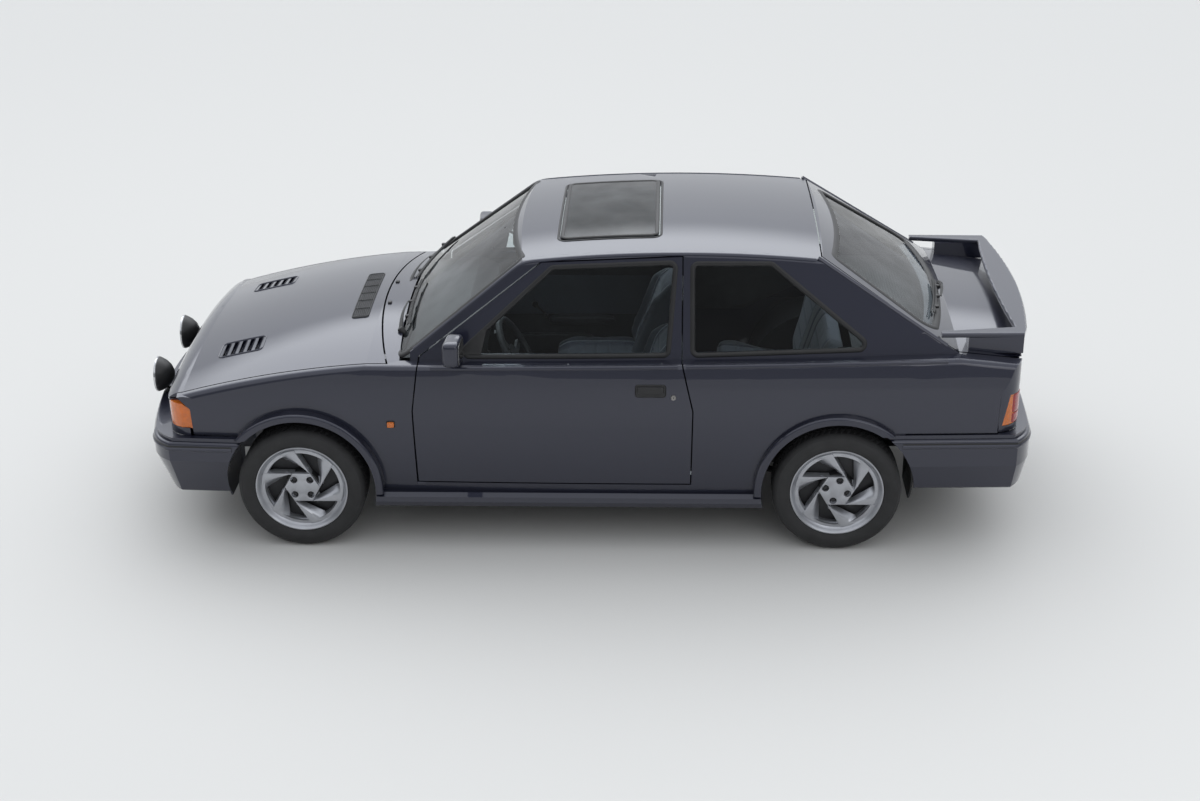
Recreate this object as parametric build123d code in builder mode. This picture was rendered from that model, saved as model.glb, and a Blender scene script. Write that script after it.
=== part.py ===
from build123d import *
import os
from math import atan2, cos, radians, sin, sqrt

# Three-door sports hatchback, 1980s road car. Millimetres.
# Frame: +X to the nose, +Y to the car's left, +Z up, origin on the ground at mid length and mid width.

# Driving dimensions
wheelbase = 2400
front_overhang = 760
rear_overhang = 885
half_width = 794          # doors, at their widest
flare_half_width = 817    # outside of the wheel arch lips
track = 1430
tyre_radius = 288
tyre_width = 195
rim_radius = 208          # outside of the rim flange
arch_radius = 338         # opening in the wing
flare_width = 34
flare_centre_z = 290
floor_z = 205             # underside of floor and sills
floor_plate = 22
panel = 22                # bonnet, wings, bumpers, roof
pillar = 40               # pillars and window frames
side_wall = 60            # rear quarter wall
door_wall = 96            # whole door, skin to trim
door_skin = 26            # outer flange of the door
door_flange = 20          # how far the skin laps past the door box
shut_gap = 6
rear_shut_gap = 8
running_gap = 0.3
glass = 5
glass_inset = 5

# Stations along the car, worked out from the axles
front_x = (wheelbase + front_overhang + rear_overhang) / 2 - front_overhang
rear_x = front_x - wheelbase
nose_x = front_x + front_overhang
tail_x = rear_x - rear_overhang

# Lower body section: two arcs meet at the widest height
widest_z = 600
tuck_radius = 2550
shoulder_radius = 1100
shoulder_round = 30
plan_radius = 40000
plan_centre_x = front_x - 1500
plan_half_angle = 3.4

# Lower body top line at the centreline, and its crown across the car
crown_depth = 3300
crown_half_angle = 15
scuttle_top = (front_x - 315, 930)
bonnet_mid = (front_x + 303, 835)
bonnet_front = (front_x + 520, 780)
nose_round = (front_x + 592, 748)
nose_edge = (front_x + 626, 690)
deck_top = (rear_x - 520, 964)
tail_top = (rear_x - 803, 934)

# Plan of the lower body ends: centre, bend, corner middle, corner end
nose_plan = (front_x + 638, front_x + 600, front_x + 568, front_x + 490)
tail_plan = (rear_x - 822, rear_x - 795, rear_x - 768, rear_x - 700)
end_bend_y = 640
corner_mid_y = 716
corner_end_y = 750

# Greenhouse
glass_foot = (705, 880)     # side glass line, (y, z)
glass_head = (577, 1335)
roof_radius = 6700
roof_peak = (front_x - 1692, 1367)
roof_crown = 5300
roof_rear_x = rear_x + 90
roof_half_width = 546
windscreen_foot = (front_x - 408, 912)
windscreen_head = (front_x - 954, 1312)
windscreen_bow = 2400       # radius of the glass seen from above
tailgate_head = (rear_x + 76, 1340)
tailgate_foot = (rear_x - 517, 965)
tailgate_bow = 2700

# Openings of the side, (x, z)
door_front_x = front_x - 520
door_rear_x = rear_x + 650
door_bottom_z = 318
door_outline = (
    (door_front_x - 30, 892), (door_front_x, 669), (door_front_x - 8, door_bottom_z),
    (door_rear_x + 4, door_bottom_z), (door_rear_x - 3, 676), (door_rear_x + 46, 890),
    (door_rear_x + 44, 1322), (front_x - 1092, 1296),
)
door_window = (
    (front_x - 705, 893), (front_x - 1138, 1278), (front_x - 1680, 1300), (front_x - 1647, 905),
)
quarter_window = (
    (rear_x + 650, 1295), (rear_x + 304, 1295), (rear_x - 150, 930), (rear_x + 648, 905),
)


def bulge(radius, distance):
    """How far a circle falls away from its tangent at a distance."""
    return radius - sqrt(radius ** 2 - distance ** 2)


def side_y(z, inset=0):
    """Half width of the lower body at a height."""
    radius = tuck_radius if z < widest_z else shoulder_radius
    return half_width - inset - bulge(radius, abs(z - widest_z))


def side_prism(outline, y_from, y_to, rounding=0, growth=0):
    """Prism with (x, z) corners, from one y to another."""
    with BuildPart() as prism:
        with BuildSketch(Plane.XZ.offset(-y_from)) as sketch:
            with BuildLine():
                Polyline(*outline, close=True)
            make_face()
            if growth:
                offset(amount=growth, kind=Kind.INTERSECTION)
            if rounding:
                fillet(sketch.vertices(), rounding)
        extrude(amount=y_from - y_to)
    return prism.part


def end_prism(outline, x_from, x_to, rounding=0, growth=0):
    """Prism with (y, z) corners, from one x to another."""
    with BuildPart() as prism:
        with BuildSketch(Plane.YZ.offset(x_from)) as sketch:
            with BuildLine():
                Polyline(*outline, close=True)
            make_face()
            if growth:
                offset(amount=growth, kind=Kind.INTERSECTION)
            if rounding:
                fillet(sketch.vertices(), rounding)
        extrude(amount=x_to - x_from)
    return prism.part


def plan_prism(outline, z_from, z_to, rounding=0):
    """Prism with (x, y) corners, from one z to another."""
    with BuildPart() as prism:
        with BuildSketch(Plane.XY.offset(z_from)) as sketch:
            with BuildLine():
                Polyline(*outline, close=True)
            make_face()
            if rounding:
                fillet(sketch.vertices(), rounding)
        extrude(amount=z_to - z_from)
    return prism.part


def block(x_range, y_range, z_range):
    """Plain box between limits."""
    return plan_prism(
        ((x_range[0], y_range[0]), (x_range[1], y_range[0]), (x_range[1], y_range[1]), (x_range[0], y_range[1])),
        z_range[0], z_range[1])


def wheel_drum(x, radius, y_from, y_to, z=tyre_radius):
    """Solid cylinder across the car at a wheel."""
    with BuildPart() as drum:
        with BuildSketch(Plane.XZ.offset(-y_from)):
            with Locations((x, z)):
                Circle(radius)
        extrude(amount=y_from - y_to)
    return drum.part


def mirrored(piece):
    """The same piece on the car's right."""
    with BuildPart() as other:
        mirror(piece, about=Plane.XZ)
    return other.part


# Body surfaces
plan_axis_y = half_width - plan_radius


def side_plane():
    turn = radians(plan_half_angle)
    return Plane(origin=(plan_centre_x, plan_axis_y, 0), x_dir=(sin(turn), cos(turn), 0),
                 z_dir=(cos(turn), -sin(turn), 0))


def lower_side(inset=0, low=150, high=1010):
    """Everything inside the left side surface of the lower body."""
    out = -plan_axis_y
    with BuildPart() as side:
        with BuildSketch(side_plane()):
            with BuildLine():
                middle = (out + half_width - inset, widest_z)
                ThreePointArc(
                    (out + side_y(low, inset), low),
                    (out + side_y((low + widest_z) / 2, inset), (low + widest_z) / 2), middle)
                ThreePointArc(
                    middle, (out + side_y((high + widest_z) / 2, inset), (high + widest_z) / 2),
                    (out + side_y(high, inset), high))
                Polyline((out + side_y(high, inset), high), (out - half_width - 100, high),
                         (out - half_width - 100, low), (out + side_y(low, inset), low))
            make_face()
        revolve(axis=Axis((plan_centre_x, plan_axis_y, 0), (0, 0, 1)), revolution_arc=2 * plan_half_angle)
    return side.part


def upper_side(inset=0, low=800, high=1450):
    """Everything inside the left side glass surface."""
    lean = (glass_head[0] - glass_foot[0]) / (glass_head[1] - glass_foot[1])
    out = -plan_axis_y
    top_y = glass_foot[0] - inset + lean * (high - glass_foot[1])
    low_y = glass_foot[0] - inset + lean * (low - glass_foot[1])
    with BuildPart() as side:
        with BuildSketch(side_plane()):
            with BuildLine():
                Polyline((out + low_y, low), (out + top_y, high), (out - half_width - 100, high),
                         (out - half_width - 100, low), close=True)
            make_face()
        revolve(axis=Axis((plan_centre_x, plan_axis_y, 0), (0, 0, 1)), revolution_arc=2 * plan_half_angle)
    return side.part


def crown_plane(centre_z):
    turn = radians(crown_half_angle)
    return Plane(origin=(0, 0, centre_z), x_dir=(1, 0, 0), z_dir=(0, -cos(turn), sin(turn)))


def lower_crown(inset=0):
    """Everything under the bonnet, waist and tail top line."""
    def at(point, drop=0, back=0):
        return point[0] - back, point[1] + crown_depth - drop
    with BuildPart() as crown:
        with BuildSketch(crown_plane(-crown_depth)):
            with BuildLine():
                foot = (nose_edge[0] + 25, crown_depth)
                edge = at(nose_edge, inset, inset)
                Line(foot, edge)
                ThreePointArc(edge, at(nose_round, inset, inset * 0.5), at(bonnet_front, inset))
                ThreePointArc(at(bonnet_front, inset), at(bonnet_mid, inset), at(scuttle_top, inset))
                Polyline(at(scuttle_top, inset), at(deck_top, inset), at(tail_top, inset), (tail_top[0] - 60, tail_top[1] + crown_depth - inset),
                         (tail_top[0] - 60, crown_depth), foot)
            make_face()
        revolve(axis=Axis((0, 0, -crown_depth), (1, 0, 0)), revolution_arc=2 * crown_half_angle)
    return crown.part


def body_plan(inset=0, low=150, high=1100):
    """The ends of the lower body seen from above."""
    n0, n1, n2, n3 = nose_plan
    t0, t1, t2, t3 = tail_plan
    wide = half_width + 110
    front = [(n1 - inset, end_bend_y - inset), (n2 - inset, corner_mid_y - inset), (n3 - inset, corner_end_y - inset)]
    back = [(t1 + inset, end_bend_y - inset), (t2 + inset, corner_mid_y - inset), (t3 + inset, corner_end_y - inset)]
    with BuildPart() as plan:
        with BuildSketch(Plane.XY.offset(low)):
            with BuildLine():
                for side in (1, -1):
                    a, b, c = [(x, side * y) for x, y in front]
                    d, e, f = [(x, side * y) for x, y in back]
                    ThreePointArc(a, b, c)
                    Polyline(c, (n3 - 90, side * wide), (t3 + 90, side * wide), f)
                    ThreePointArc(d, e, f)
                ThreePointArc(front[0], (n0 - inset, 0), (front[0][0], -front[0][1]))
                ThreePointArc(back[0], (t0 + inset, 0), (back[0][0], -back[0][1]))
            make_face()
        extrude(amount=high - low)
    return plan.part


def lower_form(inset=0, rounding=0):
    """The lower body as one solid, inset all round."""
    with BuildPart() as form:
        add(lower_side(inset))
        add(mirrored(lower_side(inset)), mode=Mode.INTERSECT)
        add(lower_crown(inset), mode=Mode.INTERSECT)
        add(body_plan(inset), mode=Mode.INTERSECT)
        if rounding:
            shoulder = [edge for edge in form.edges()
                        if abs(edge.center().Y) > end_bend_y and edge.center().Z > 700 and edge.length > 150]
            fillet(shoulder, rounding)
    return form.part


def roof_form(inset=0):
    """Everything under the roof surface."""
    start, end = front_x - 300, rear_x - 700
    centre = roof_crown - roof_peak[1]

    def top(x):
        return x, roof_crown - inset - bulge(roof_radius, abs(x - roof_peak[0]))
    with BuildPart() as roof:
        with BuildSketch(crown_plane(-centre)):
            with BuildLine():
                ThreePointArc(top(start), top(roof_peak[0]), top(end))
                Polyline(top(end), (end, centre + 600), (start, centre + 600), top(start))
            make_face()
        revolve(axis=Axis((0, 0, -centre), (1, 0, 0)), revolution_arc=2 * crown_half_angle)
    return roof.part


def raked_form(foot, head, bow, low, facing, inset=0):
    """Everything behind a raked screen that is bowed in plan; facing is +1 to the front, -1 to the back."""
    run, rise = head[0] - foot[0], head[1] - foot[1]
    rake = atan2(rise, abs(run))
    centre_x = foot[0] + (low - foot[1]) / rise * run - facing * inset / sin(rake)
    edge = 850
    far = centre_x - facing * 2700
    with BuildPart() as form:
        with BuildSketch(Plane.XY.offset(low)):
            with BuildLine():
                side_x = centre_x - facing * bulge(bow, edge)
                ThreePointArc((side_x, edge), (centre_x, 0), (side_x, -edge))
                Polyline((side_x, -edge), (far, -edge), (far, edge), (side_x, edge))
            make_face()
        extrude(amount=(1450 - low) / sin(rake), dir=(run / rise, 0, 1))
    return form.part


def screen_form(inset=0, low=600):
    return raked_form(windscreen_foot, windscreen_head, windscreen_bow, low, 1, inset)


def tailgate_form(inset=0, low=600):
    return raked_form(tailgate_foot, tailgate_head, tailgate_bow, low, -1, inset)


def upper_form(inset=0, low=800, rounding=0):
    """The greenhouse as one solid, inset all round."""
    with BuildPart() as form:
        add(upper_side(inset, low))
        add(mirrored(upper_side(inset, low)), mode=Mode.INTERSECT)
        add(roof_form(inset), mode=Mode.INTERSECT)
        add(screen_form(inset, low), mode=Mode.INTERSECT)
        add(tailgate_form(inset, low), mode=Mode.INTERSECT)
        if rounding:
            gutters = [edge for edge in form.edges()
                       if edge.center().Z > 1290 and abs(edge.center().Y) > roof_half_width]
            fillet(gutters, rounding)
    return form.part


def joined(first, second):
    with BuildPart() as both:
        add(first)
        add(second)
    return both.part


def without(first, *others):
    with BuildPart() as rest:
        add(first)
        for other in others:
            add(other, mode=Mode.SUBTRACT)
    return rest.part


def common(first, *others):
    with BuildPart() as shared:
        add(first)
        for other in others:
            add(other, mode=Mode.INTERSECT)
    return shared.part


# Bonnet, scuttle and tailgate outlines
bonnet_rear_x = (front_x - 315, front_x - 418)      # centre, corner
bonnet_half_width = (716, 690)                      # at the back, at the front
bonnet_front_z = 694
screen_outline = ((-674, 880), (674, 880), (548, 1302), (-548, 1302))
tailgate_outline = (
    (-512, 1390), (-656, 968), (-656, 890), (-566, 850), (-566, 592),
    (566, 592), (566, 850), (656, 890), (656, 968), (512, 1390),
)
tailgate_window = ((-470, 1284), (-612, 986), (612, 986), (470, 1284))
tailgate_wall = 34
tailgate_skin = 12         # outer flange of the tailgate
tailgate_flange = 26       # how far the skin laps past the tailgate box

# Bumpers
bumper_top_z = 528
bumper_low_z = 236
bumper_wall = 26
bumper_round = 14
front_bumper_plan = ((nose_x, 0), (nose_x - 66, 600), (nose_x - 98, 712), (nose_x - 172, 785))
rear_bumper_plan = ((tail_x, 0), (tail_x + 22, 610), (tail_x + 46, 712), (tail_x + 100, 784))
bumper_rear_top_z = 566
nose_half_width = 694
bumper_half_width = 806
bumper_step = 18
bumper_ledge = 116
bumper_knee_z = 420        # below it the bumpers turn under
bumper_taper = (20, 13)    # degrees, front and rear
spoiler_z = 972
spoiler_thick = 22
spoiler_tip_x = rear_x - 441
spoiler_inner_x = rear_x - 748
spoiler_rear_x = (rear_x - 866, rear_x - 824)   # centre, corner
lamp_face_x = nose_x - 8
tow_eye = (front_x + 580, 206)
rail_z = (330, 430)
rail_inner_y = 380
tow_eye_y = -418
tow_eye_radius = 15
tow_eye_thick = 12
lamp_radius = 82
lamp_centre_z = 615
hub_y = 62               # outer face of the wheel centre, from the rim's middle plane
hub_radius = 78
hub_bore = 24
disc_radius = 130
rim_half = 86
blade_count = 6
window_inner = 96
window_outer = 166
seat_x = (front_x - 1060, front_x - 1540)
seat_rake = 20
back_height = 560
rear_seat_half = 540
dash_half = 630
steering_rim_radius = 180
steering_rake = 62
column_radius = 22
column_length = 270
steering_x = front_x - 960
steering_centre_z = 765
wiper_pivots = (435, -160)


def rear_arc_prism(back_shift, z_from, z_to):
    """Everything ahead of the bonnet's bowed rear edge."""
    centre_x, corner_x = bonnet_rear_x
    half = bonnet_half_width[0] + 60
    with BuildPart() as prism:
        with BuildSketch(Plane.XY.offset(z_from)):
            with BuildLine():
                ThreePointArc((corner_x - back_shift, half), (centre_x - back_shift, 0), (corner_x - back_shift, -half))
                Polyline((corner_x - back_shift, -half), (nose_x + 50, -half), (nose_x + 50, half),
                         (corner_x - back_shift, half))
            make_face()
        extrude(amount=z_to - z_from)
    return prism.part


def bonnet_region(gap=0):
    """The space of the bonnet seen from above."""
    rear, front = bonnet_half_width
    low_x = bonnet_rear_x[1] - 80
    outline = ((low_x, -rear - gap), (nose_x + 60, -front - gap), (nose_x + 60, front + gap), (low_x, rear + gap))
    return common(rear_arc_prism(rear_shut_gap * (1 if gap else 0), bonnet_front_z - gap, 1000),
                  plan_prism(outline, bonnet_front_z - gap, 1000))


# Sunroof, louvres and grille
sunroof_x = (front_x - 1160, front_x - 1608)    # front, rear
sunroof_half_width = 401
sunroof_proud = 5
louvre_x = front_x + 303
louvre_y = 401
louvre_count = 5
louvre_pitch = 38
louvre_slot = 20
louvre_width = 118
grille_bar_count = 5


def sunroof_region(growth):
    """The sunroof's opening seen from above."""
    front, rear, half = sunroof_x[0] + growth, sunroof_x[1] - growth, sunroof_half_width + growth
    return plan_prism(((rear, -half), (front, -half), (front, half), (rear, half)), 1200, 1500, 36 + growth)


def flare(x, low_z):
    """Rounded lip round a wheel arch, standing off the body side."""
    outer = arch_radius + flare_width
    with BuildPart() as lip:
        with BuildSketch(Plane.XZ.offset(-(half_width - 40))):
            with Locations((x, flare_centre_z)):
                Circle(outer)
        extrude(amount=-(flare_half_width - half_width + 40))
        fillet(lip.faces().sort_by(Axis.Y)[-1].edges(), 12)
        with BuildSketch(Plane.XZ.offset(-(half_width - 60))):
            with Locations((x, flare_centre_z)):
                Circle(arch_radius)
        extrude(amount=-200, mode=Mode.SUBTRACT)
        add(block((x - 600, x + 600), (0, 1000), (-200, low_z)), mode=Mode.SUBTRACT)
    return lip.part


outer_lower = lower_form(rounding=shoulder_round)
outer_upper = upper_form(rounding=24)
skin_cavity = lower_form(panel)
wall_cavity = lower_form(side_wall)
pillar_cavity = upper_form(pillar, low=620)
roof_cavity = upper_form(panel, low=620)

cabin = joined(wall_cavity, pillar_cavity)
body_outer = joined(outer_lower, outer_upper)
wall_shell = without(body_outer, cabin)
skin_shell = without(outer_lower, skin_cavity)
left_half = block((tail_x - 50, nose_x + 50), (0, 1000), (0, 1500))
door_region = side_prism(door_outline, roof_half_width + shut_gap, 1000)
door_opening = side_prism(door_outline, roof_half_width, 1000, growth=shut_gap)
door_glass_region = side_prism(door_window, 400, 1000, 26)
quarter_glass_region = side_prism(quarter_window, 400, 1000, 26)
screen_region = end_prism(screen_outline, front_x - 1100, front_x, 30)
tailgate_region = end_prism(tailgate_outline, tail_x - 50, roof_rear_x - shut_gap, growth=shut_gap - rear_shut_gap)
tailgate_box_region = end_prism(tailgate_outline, tail_x - 50, roof_rear_x - shut_gap, growth=-tailgate_flange)
tailgate_opening = end_prism(tailgate_outline, tail_x - 50, roof_rear_x, growth=shut_gap)
tailgate_glass_region = end_prism(tailgate_window, tail_x, roof_rear_x - 20, 40)
rear_arch = wheel_drum(rear_x, arch_radius, 480, 1000, flare_centre_z)
front_arch = wheel_drum(front_x, arch_radius, 400, 1000, flare_centre_z)

# Body shell
pieces = {}
roof_region = block((roof_rear_x, front_x - 890), (-roof_half_width, roof_half_width), (1296, 1500))
bonnet_opening = bonnet_region(shut_gap)
scuttle_half_width = bonnet_half_width[0]
lamp_z = (598, 742)
rear_lamp_y = 576
rear_lamp_x = rear_x - 728
rear_lamp_region = side_prism(
    ((tail_x, lamp_z[0]), (rear_lamp_x + 14, lamp_z[0]), (rear_lamp_x - 16, lamp_z[1]), (tail_x, lamp_z[1])),
    rear_lamp_y, 1000)
sill_z = 312
a_post_x = (door_front_x - 30, front_x - 468)
a_post_y = 724
hinge_leaf_z = (430, 700)

with BuildPart() as side_frame_left:
    add(common(wall_shell, left_half))
    add(common(outer_lower, block((rear_x + 300, front_x - 400), (640, 1000), (floor_z, sill_z))))
    add(door_opening, mode=Mode.SUBTRACT)
    add(quarter_glass_region, mode=Mode.SUBTRACT)
    add(screen_region, mode=Mode.SUBTRACT)
    add(tailgate_opening, mode=Mode.SUBTRACT)
    add(roof_region, mode=Mode.SUBTRACT)
    add(block((roof_rear_x, front_x - 890), (0, roof_half_width - 30), (1200, 1500)), mode=Mode.SUBTRACT)
    add(rear_lamp_region, mode=Mode.SUBTRACT)
    add(without(flare(rear_x, sill_z - 40), block((tail_x, rear_x), (0, 1000), (0, bumper_rear_top_z + 4))))
    add(rear_arch, mode=Mode.SUBTRACT)
    add(block((a_post_x[1], nose_x), (0, 1000), (0, 1400)), mode=Mode.SUBTRACT)
    add(block((a_post_x[0] - 8, nose_x), (a_post_y, 1000), (0, 1000)), mode=Mode.SUBTRACT)
    add(block((front_x - 508, nose_x), (0, scuttle_half_width), (800, 1000)), mode=Mode.SUBTRACT)
    add(block((a_post_x[0] - 8, nose_x), (scuttle_half_width, 1000), (840, 1000)), mode=Mode.SUBTRACT)
    add(block((tail_x - 60, nose_x), (0, 1000), (0, floor_z)), mode=Mode.SUBTRACT)
    add(block((tail_x - 60, rear_x - 290), (0, 1000), (0, bumper_rear_top_z + 4)), mode=Mode.SUBTRACT)
    for z in hinge_leaf_z:
        add(without(block((door_front_x - 40, door_front_x + 20), (a_post_y - 34, a_post_y - 2), (z - 24, z + 24)),
                    side_prism(door_outline, 400, 1000, growth=running_gap - door_flange)))
pieces["side_frame_left"] = side_frame_left

with BuildPart() as roof:
    add(common(without(outer_upper, roof_cavity), roof_region))
    add(screen_region, mode=Mode.SUBTRACT)
    add(sunroof_region(0), mode=Mode.SUBTRACT)
    under_tailgate = upper_form(tailgate_wall + running_gap, low=1200)
    under_sunroof = roof_form(panel - sunroof_proud + running_gap)
    for side in (-1, 1):
        y_range = (side * 400 - 20, side * 400 + 20)
        add(common(block((roof_rear_x - 30, roof_rear_x + 30), y_range, (1240, 1400)), under_tailgate))
        add(common(block((roof_rear_x, roof_rear_x + 30), y_range, (1270, 1400)), roof_cavity))
        y_range = (side * 320 - 20, side * 320 + 20)
        add(common(block((sunroof_x[0] - 26, sunroof_x[0] + 16), y_range, (1300, 1400)), under_sunroof))
        add(common(block((sunroof_x[0], sunroof_x[0] + 16), y_range, (1300, 1400)), roof_cavity))
pieces["roof"] = roof

with BuildPart() as sunroof:
    add(without(roof_form(-sunroof_proud), roof_form(panel - sunroof_proud)))
    add(sunroof_region(-shut_gap), mode=Mode.INTERSECT)
pieces["sunroof"] = sunroof

with BuildPart() as bonnet:
    add(common(skin_shell, bonnet_region()))
    for side in (1, -1):
        for step in range(louvre_count):
            x = louvre_x + (step - (louvre_count - 1) / 2) * louvre_pitch
            add(block((x - louvre_slot / 2, x + louvre_slot / 2),
                      (side * louvre_y - louvre_width / 2, side * louvre_y + louvre_width / 2), (700, 900)),
                mode=Mode.SUBTRACT)
pieces["bonnet"] = bonnet

wing_outline = (
    (door_front_x - 24, 1000), (door_front_x - 24, 892), (door_front_x + 6, 669), (door_front_x - 2, floor_z),
    (front_x - 100, floor_z), (front_x + 150, bumper_top_z + 4), (front_x + 476, bumper_top_z + 4),
    (front_x + 484, 655), (front_x + 553, 722), (front_x + 620, 722), (front_x + 700, 1000),
)
with BuildPart() as wing_left:
    add(common(skin_shell, side_prism(wing_outline, 400, 1000)))
    add(bonnet_opening, mode=Mode.SUBTRACT)
    add(block((front_x - 620, front_x + 470), (0, scuttle_half_width - 40), (700, 1100)), mode=Mode.SUBTRACT)
    add(block((front_x - 620, bonnet_rear_x[1] + 20), (0, scuttle_half_width), (700, 1100)), mode=Mode.SUBTRACT)
    add(block((front_x + 470, nose_x), (0, nose_half_width), (0, 1100)), mode=Mode.SUBTRACT)
    add(outer_upper, mode=Mode.SUBTRACT)
    add(without(flare(front_x, sill_z - 40), block((front_x, nose_x), (0, 1000), (0, bumper_top_z + 4))))
    add(front_arch, mode=Mode.SUBTRACT)
pieces["wing_left"] = wing_left

with BuildPart() as scuttle:
    add(common(skin_shell, block((front_x - 508, front_x), (-scuttle_half_width, scuttle_half_width), (800, 1000))))
    add(rear_arc_prism(rear_shut_gap, 600, 1000), mode=Mode.SUBTRACT)
    add(outer_upper, mode=Mode.SUBTRACT)
    for y in (-620, 620):
        add(common(block((front_x - 430, front_x - 400), (y - 20, y + 20), (790, 1000)), skin_cavity))
        add(common(block((front_x - 410, front_x - 364), (y - 20, y + 20), (790, 1000)), lower_form(panel + running_gap)))
pieces["scuttle"] = scuttle

door_cavity = joined(lower_form(door_wall), pillar_cavity)
flange_cavity = joined(lower_form(door_skin), upper_form(door_skin, low=620))
door_box_region = side_prism(door_outline, 400, 1000, growth=-door_flange)
with BuildPart() as door_left:
    add(common(without(body_outer, door_cavity), door_region))
    add(common(without(door_region, door_box_region), flange_cavity), mode=Mode.SUBTRACT)
    add(door_glass_region, mode=Mode.SUBTRACT)
pieces["door_left"] = door_left

tailgate_cavity = joined(lower_form(tailgate_wall), upper_form(tailgate_wall, low=620))
tailgate_skin_cavity = joined(lower_form(tailgate_skin), upper_form(tailgate_skin, low=620))
with BuildPart() as tailgate:
    add(common(without(body_outer, tailgate_cavity), tailgate_region))
    add(common(tailgate_form(tailgate_wall + 30, low=880), block((tail_x, 0), (-800, 800), (900, 1290))),
        mode=Mode.SUBTRACT)
    add(block((rear_x - 520, 0), (-800, 800), (500, 900)), mode=Mode.SUBTRACT)
    add(common(without(tailgate_region, tailgate_box_region), tailgate_skin_cavity), mode=Mode.SUBTRACT)
    raked_part = joined(block((tail_x, 0), (-800, 800), (985, 1290)), block((rear_x - 460, 0), (-800, 800), (840, 985)))
    add(common(tailgate_form(tailgate_wall, low=620), raked_part), mode=Mode.SUBTRACT)
    add(common(without(tailgate_region, tailgate_box_region), tailgate_form(tailgate_skin, low=620), raked_part),
        mode=Mode.SUBTRACT)
    add(tailgate_glass_region, mode=Mode.SUBTRACT)
pieces["tailgate"] = tailgate

# Glass
glass_layer = without(upper_form(glass_inset, low=820), upper_form(glass_inset + glass, low=820))
with BuildPart() as windscreen:
    add(common(glass_layer, end_prism(screen_outline, front_x - 1100, front_x, 30, growth=-running_gap)))
pieces["windscreen"] = windscreen

with BuildPart() as door_glass_left:
    add(common(glass_layer, side_prism(door_window, 400, 1000, 26, growth=-running_gap)))
pieces["door_glass_left"] = door_glass_left

with BuildPart() as quarter_glass_left:
    add(common(glass_layer, side_prism(quarter_window, 400, 1000, 26, growth=-running_gap)))
pieces["quarter_glass_left"] = quarter_glass_left

with BuildPart() as tailgate_glass:
    add(common(glass_layer, end_prism(tailgate_window, tail_x, roof_rear_x - 20, 40, growth=-running_gap)))
pieces["tailgate_glass"] = tailgate_glass

# Nose and lamps
lamp_bottom_z = bumper_top_z + 22
nose_region = block((front_x + 300, nose_x), (-1000, 1000), (bumper_top_z, bonnet_front_z - shut_gap))
headlamp_region = end_prism(((330, lamp_bottom_z), (652, lamp_bottom_z), (652, 676), (330, 676)), front_x + 400, nose_x, 8)
indicator_outline = ((front_x + 480, 563), (nose_x, 563), (nose_x, 680), (front_x + 520, 680), (front_x + 484, 655))
indicator_region = side_prism(indicator_outline, 662, 1000)
grille_region = end_prism(((-320, lamp_bottom_z), (320, lamp_bottom_z), (320, 672), (-320, 672)), front_x + 400, nose_x)

with BuildPart() as front_panel:
    add(common(skin_shell, nose_region, block((front_x + 488, nose_x), (-nose_half_width, nose_half_width), (500, 800))))
    add(grille_region, mode=Mode.SUBTRACT)
    for region in (headlamp_region, indicator_region):
        add(region, mode=Mode.SUBTRACT)
        add(mirrored(region), mode=Mode.SUBTRACT)
pieces["front_panel"] = front_panel

with BuildPart() as headlamp_left:
    add(common(without(lower_form(3), lower_form(60)), headlamp_region))
with BuildPart() as headlamps:
    add(headlamp_left.part)
    add(mirrored(headlamp_left.part))
pieces["headlamps"] = headlamps

with BuildPart() as indicator_left:
    add(common(without(lower_form(2), lower_form(panel)), indicator_region))
with BuildPart() as indicators:
    add(indicator_left.part)
    add(mirrored(indicator_left.part))
pieces["indicators"] = indicators

with BuildPart() as rear_lamp_left:
    add(common(without(lower_form(2), wall_cavity), rear_lamp_region))
with BuildPart() as rear_lamps:
    add(rear_lamp_left.part)
    add(mirrored(rear_lamp_left.part))
pieces["rear_lamps"] = rear_lamps

with BuildPart() as grille_bars:
    for step in range(grille_bar_count):
        z = lamp_bottom_z + 6 + step * (672 - lamp_bottom_z - 12) / (grille_bar_count - 1)
        add(block((front_x + 400, nose_x), (-320, 320), (z - 6, z + 6)))
    for y in (-314, 0, 314):
        add(block((front_x + 400, nose_x), (y - 6, y + 6), (lamp_bottom_z, 672)))
with BuildPart() as grille:
    add(common(without(lower_form(6), lower_form(panel)), grille_bars.part))
pieces["grille"] = grille

# Bumpers and skirts
def bumper_form(corners, side_x, sign, inset=0, low=0, high=1000):
    """Plan of a bumper between two heights; corners hold the centre, bend, corner middle and corner end."""
    centre, bend, middle, end = [(x - sign * inset, max(y - inset, 0)) for x, y in corners]
    with BuildPart() as form:
        with BuildSketch(Plane.XY.offset(low)):
            with BuildLine():
                for side in (1, -1):
                    a, b, c = [(x, side * y) for x, y in (bend, middle, end)]
                    ThreePointArc(a, b, c)
                    Line(c, (side_x, side * (bumper_half_width - inset)))
                ThreePointArc(bend, centre, (bend[0], -bend[1]))
                Line((side_x, bumper_half_width - inset), (side_x, inset - bumper_half_width))
            make_face()
        extrude(amount=high - low)
    return form.part


def turned_under(corners, side_x, sign, inset, low, high, taper):
    """A bumper's form that tapers below its knee."""
    with BuildPart() as form:
        add(bumper_form(corners, side_x, sign, inset, bumper_knee_z, high))
        extrude(form.faces().sort_by(Axis.Z)[0], amount=bumper_knee_z - low, taper=taper)
    return form.part


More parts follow.
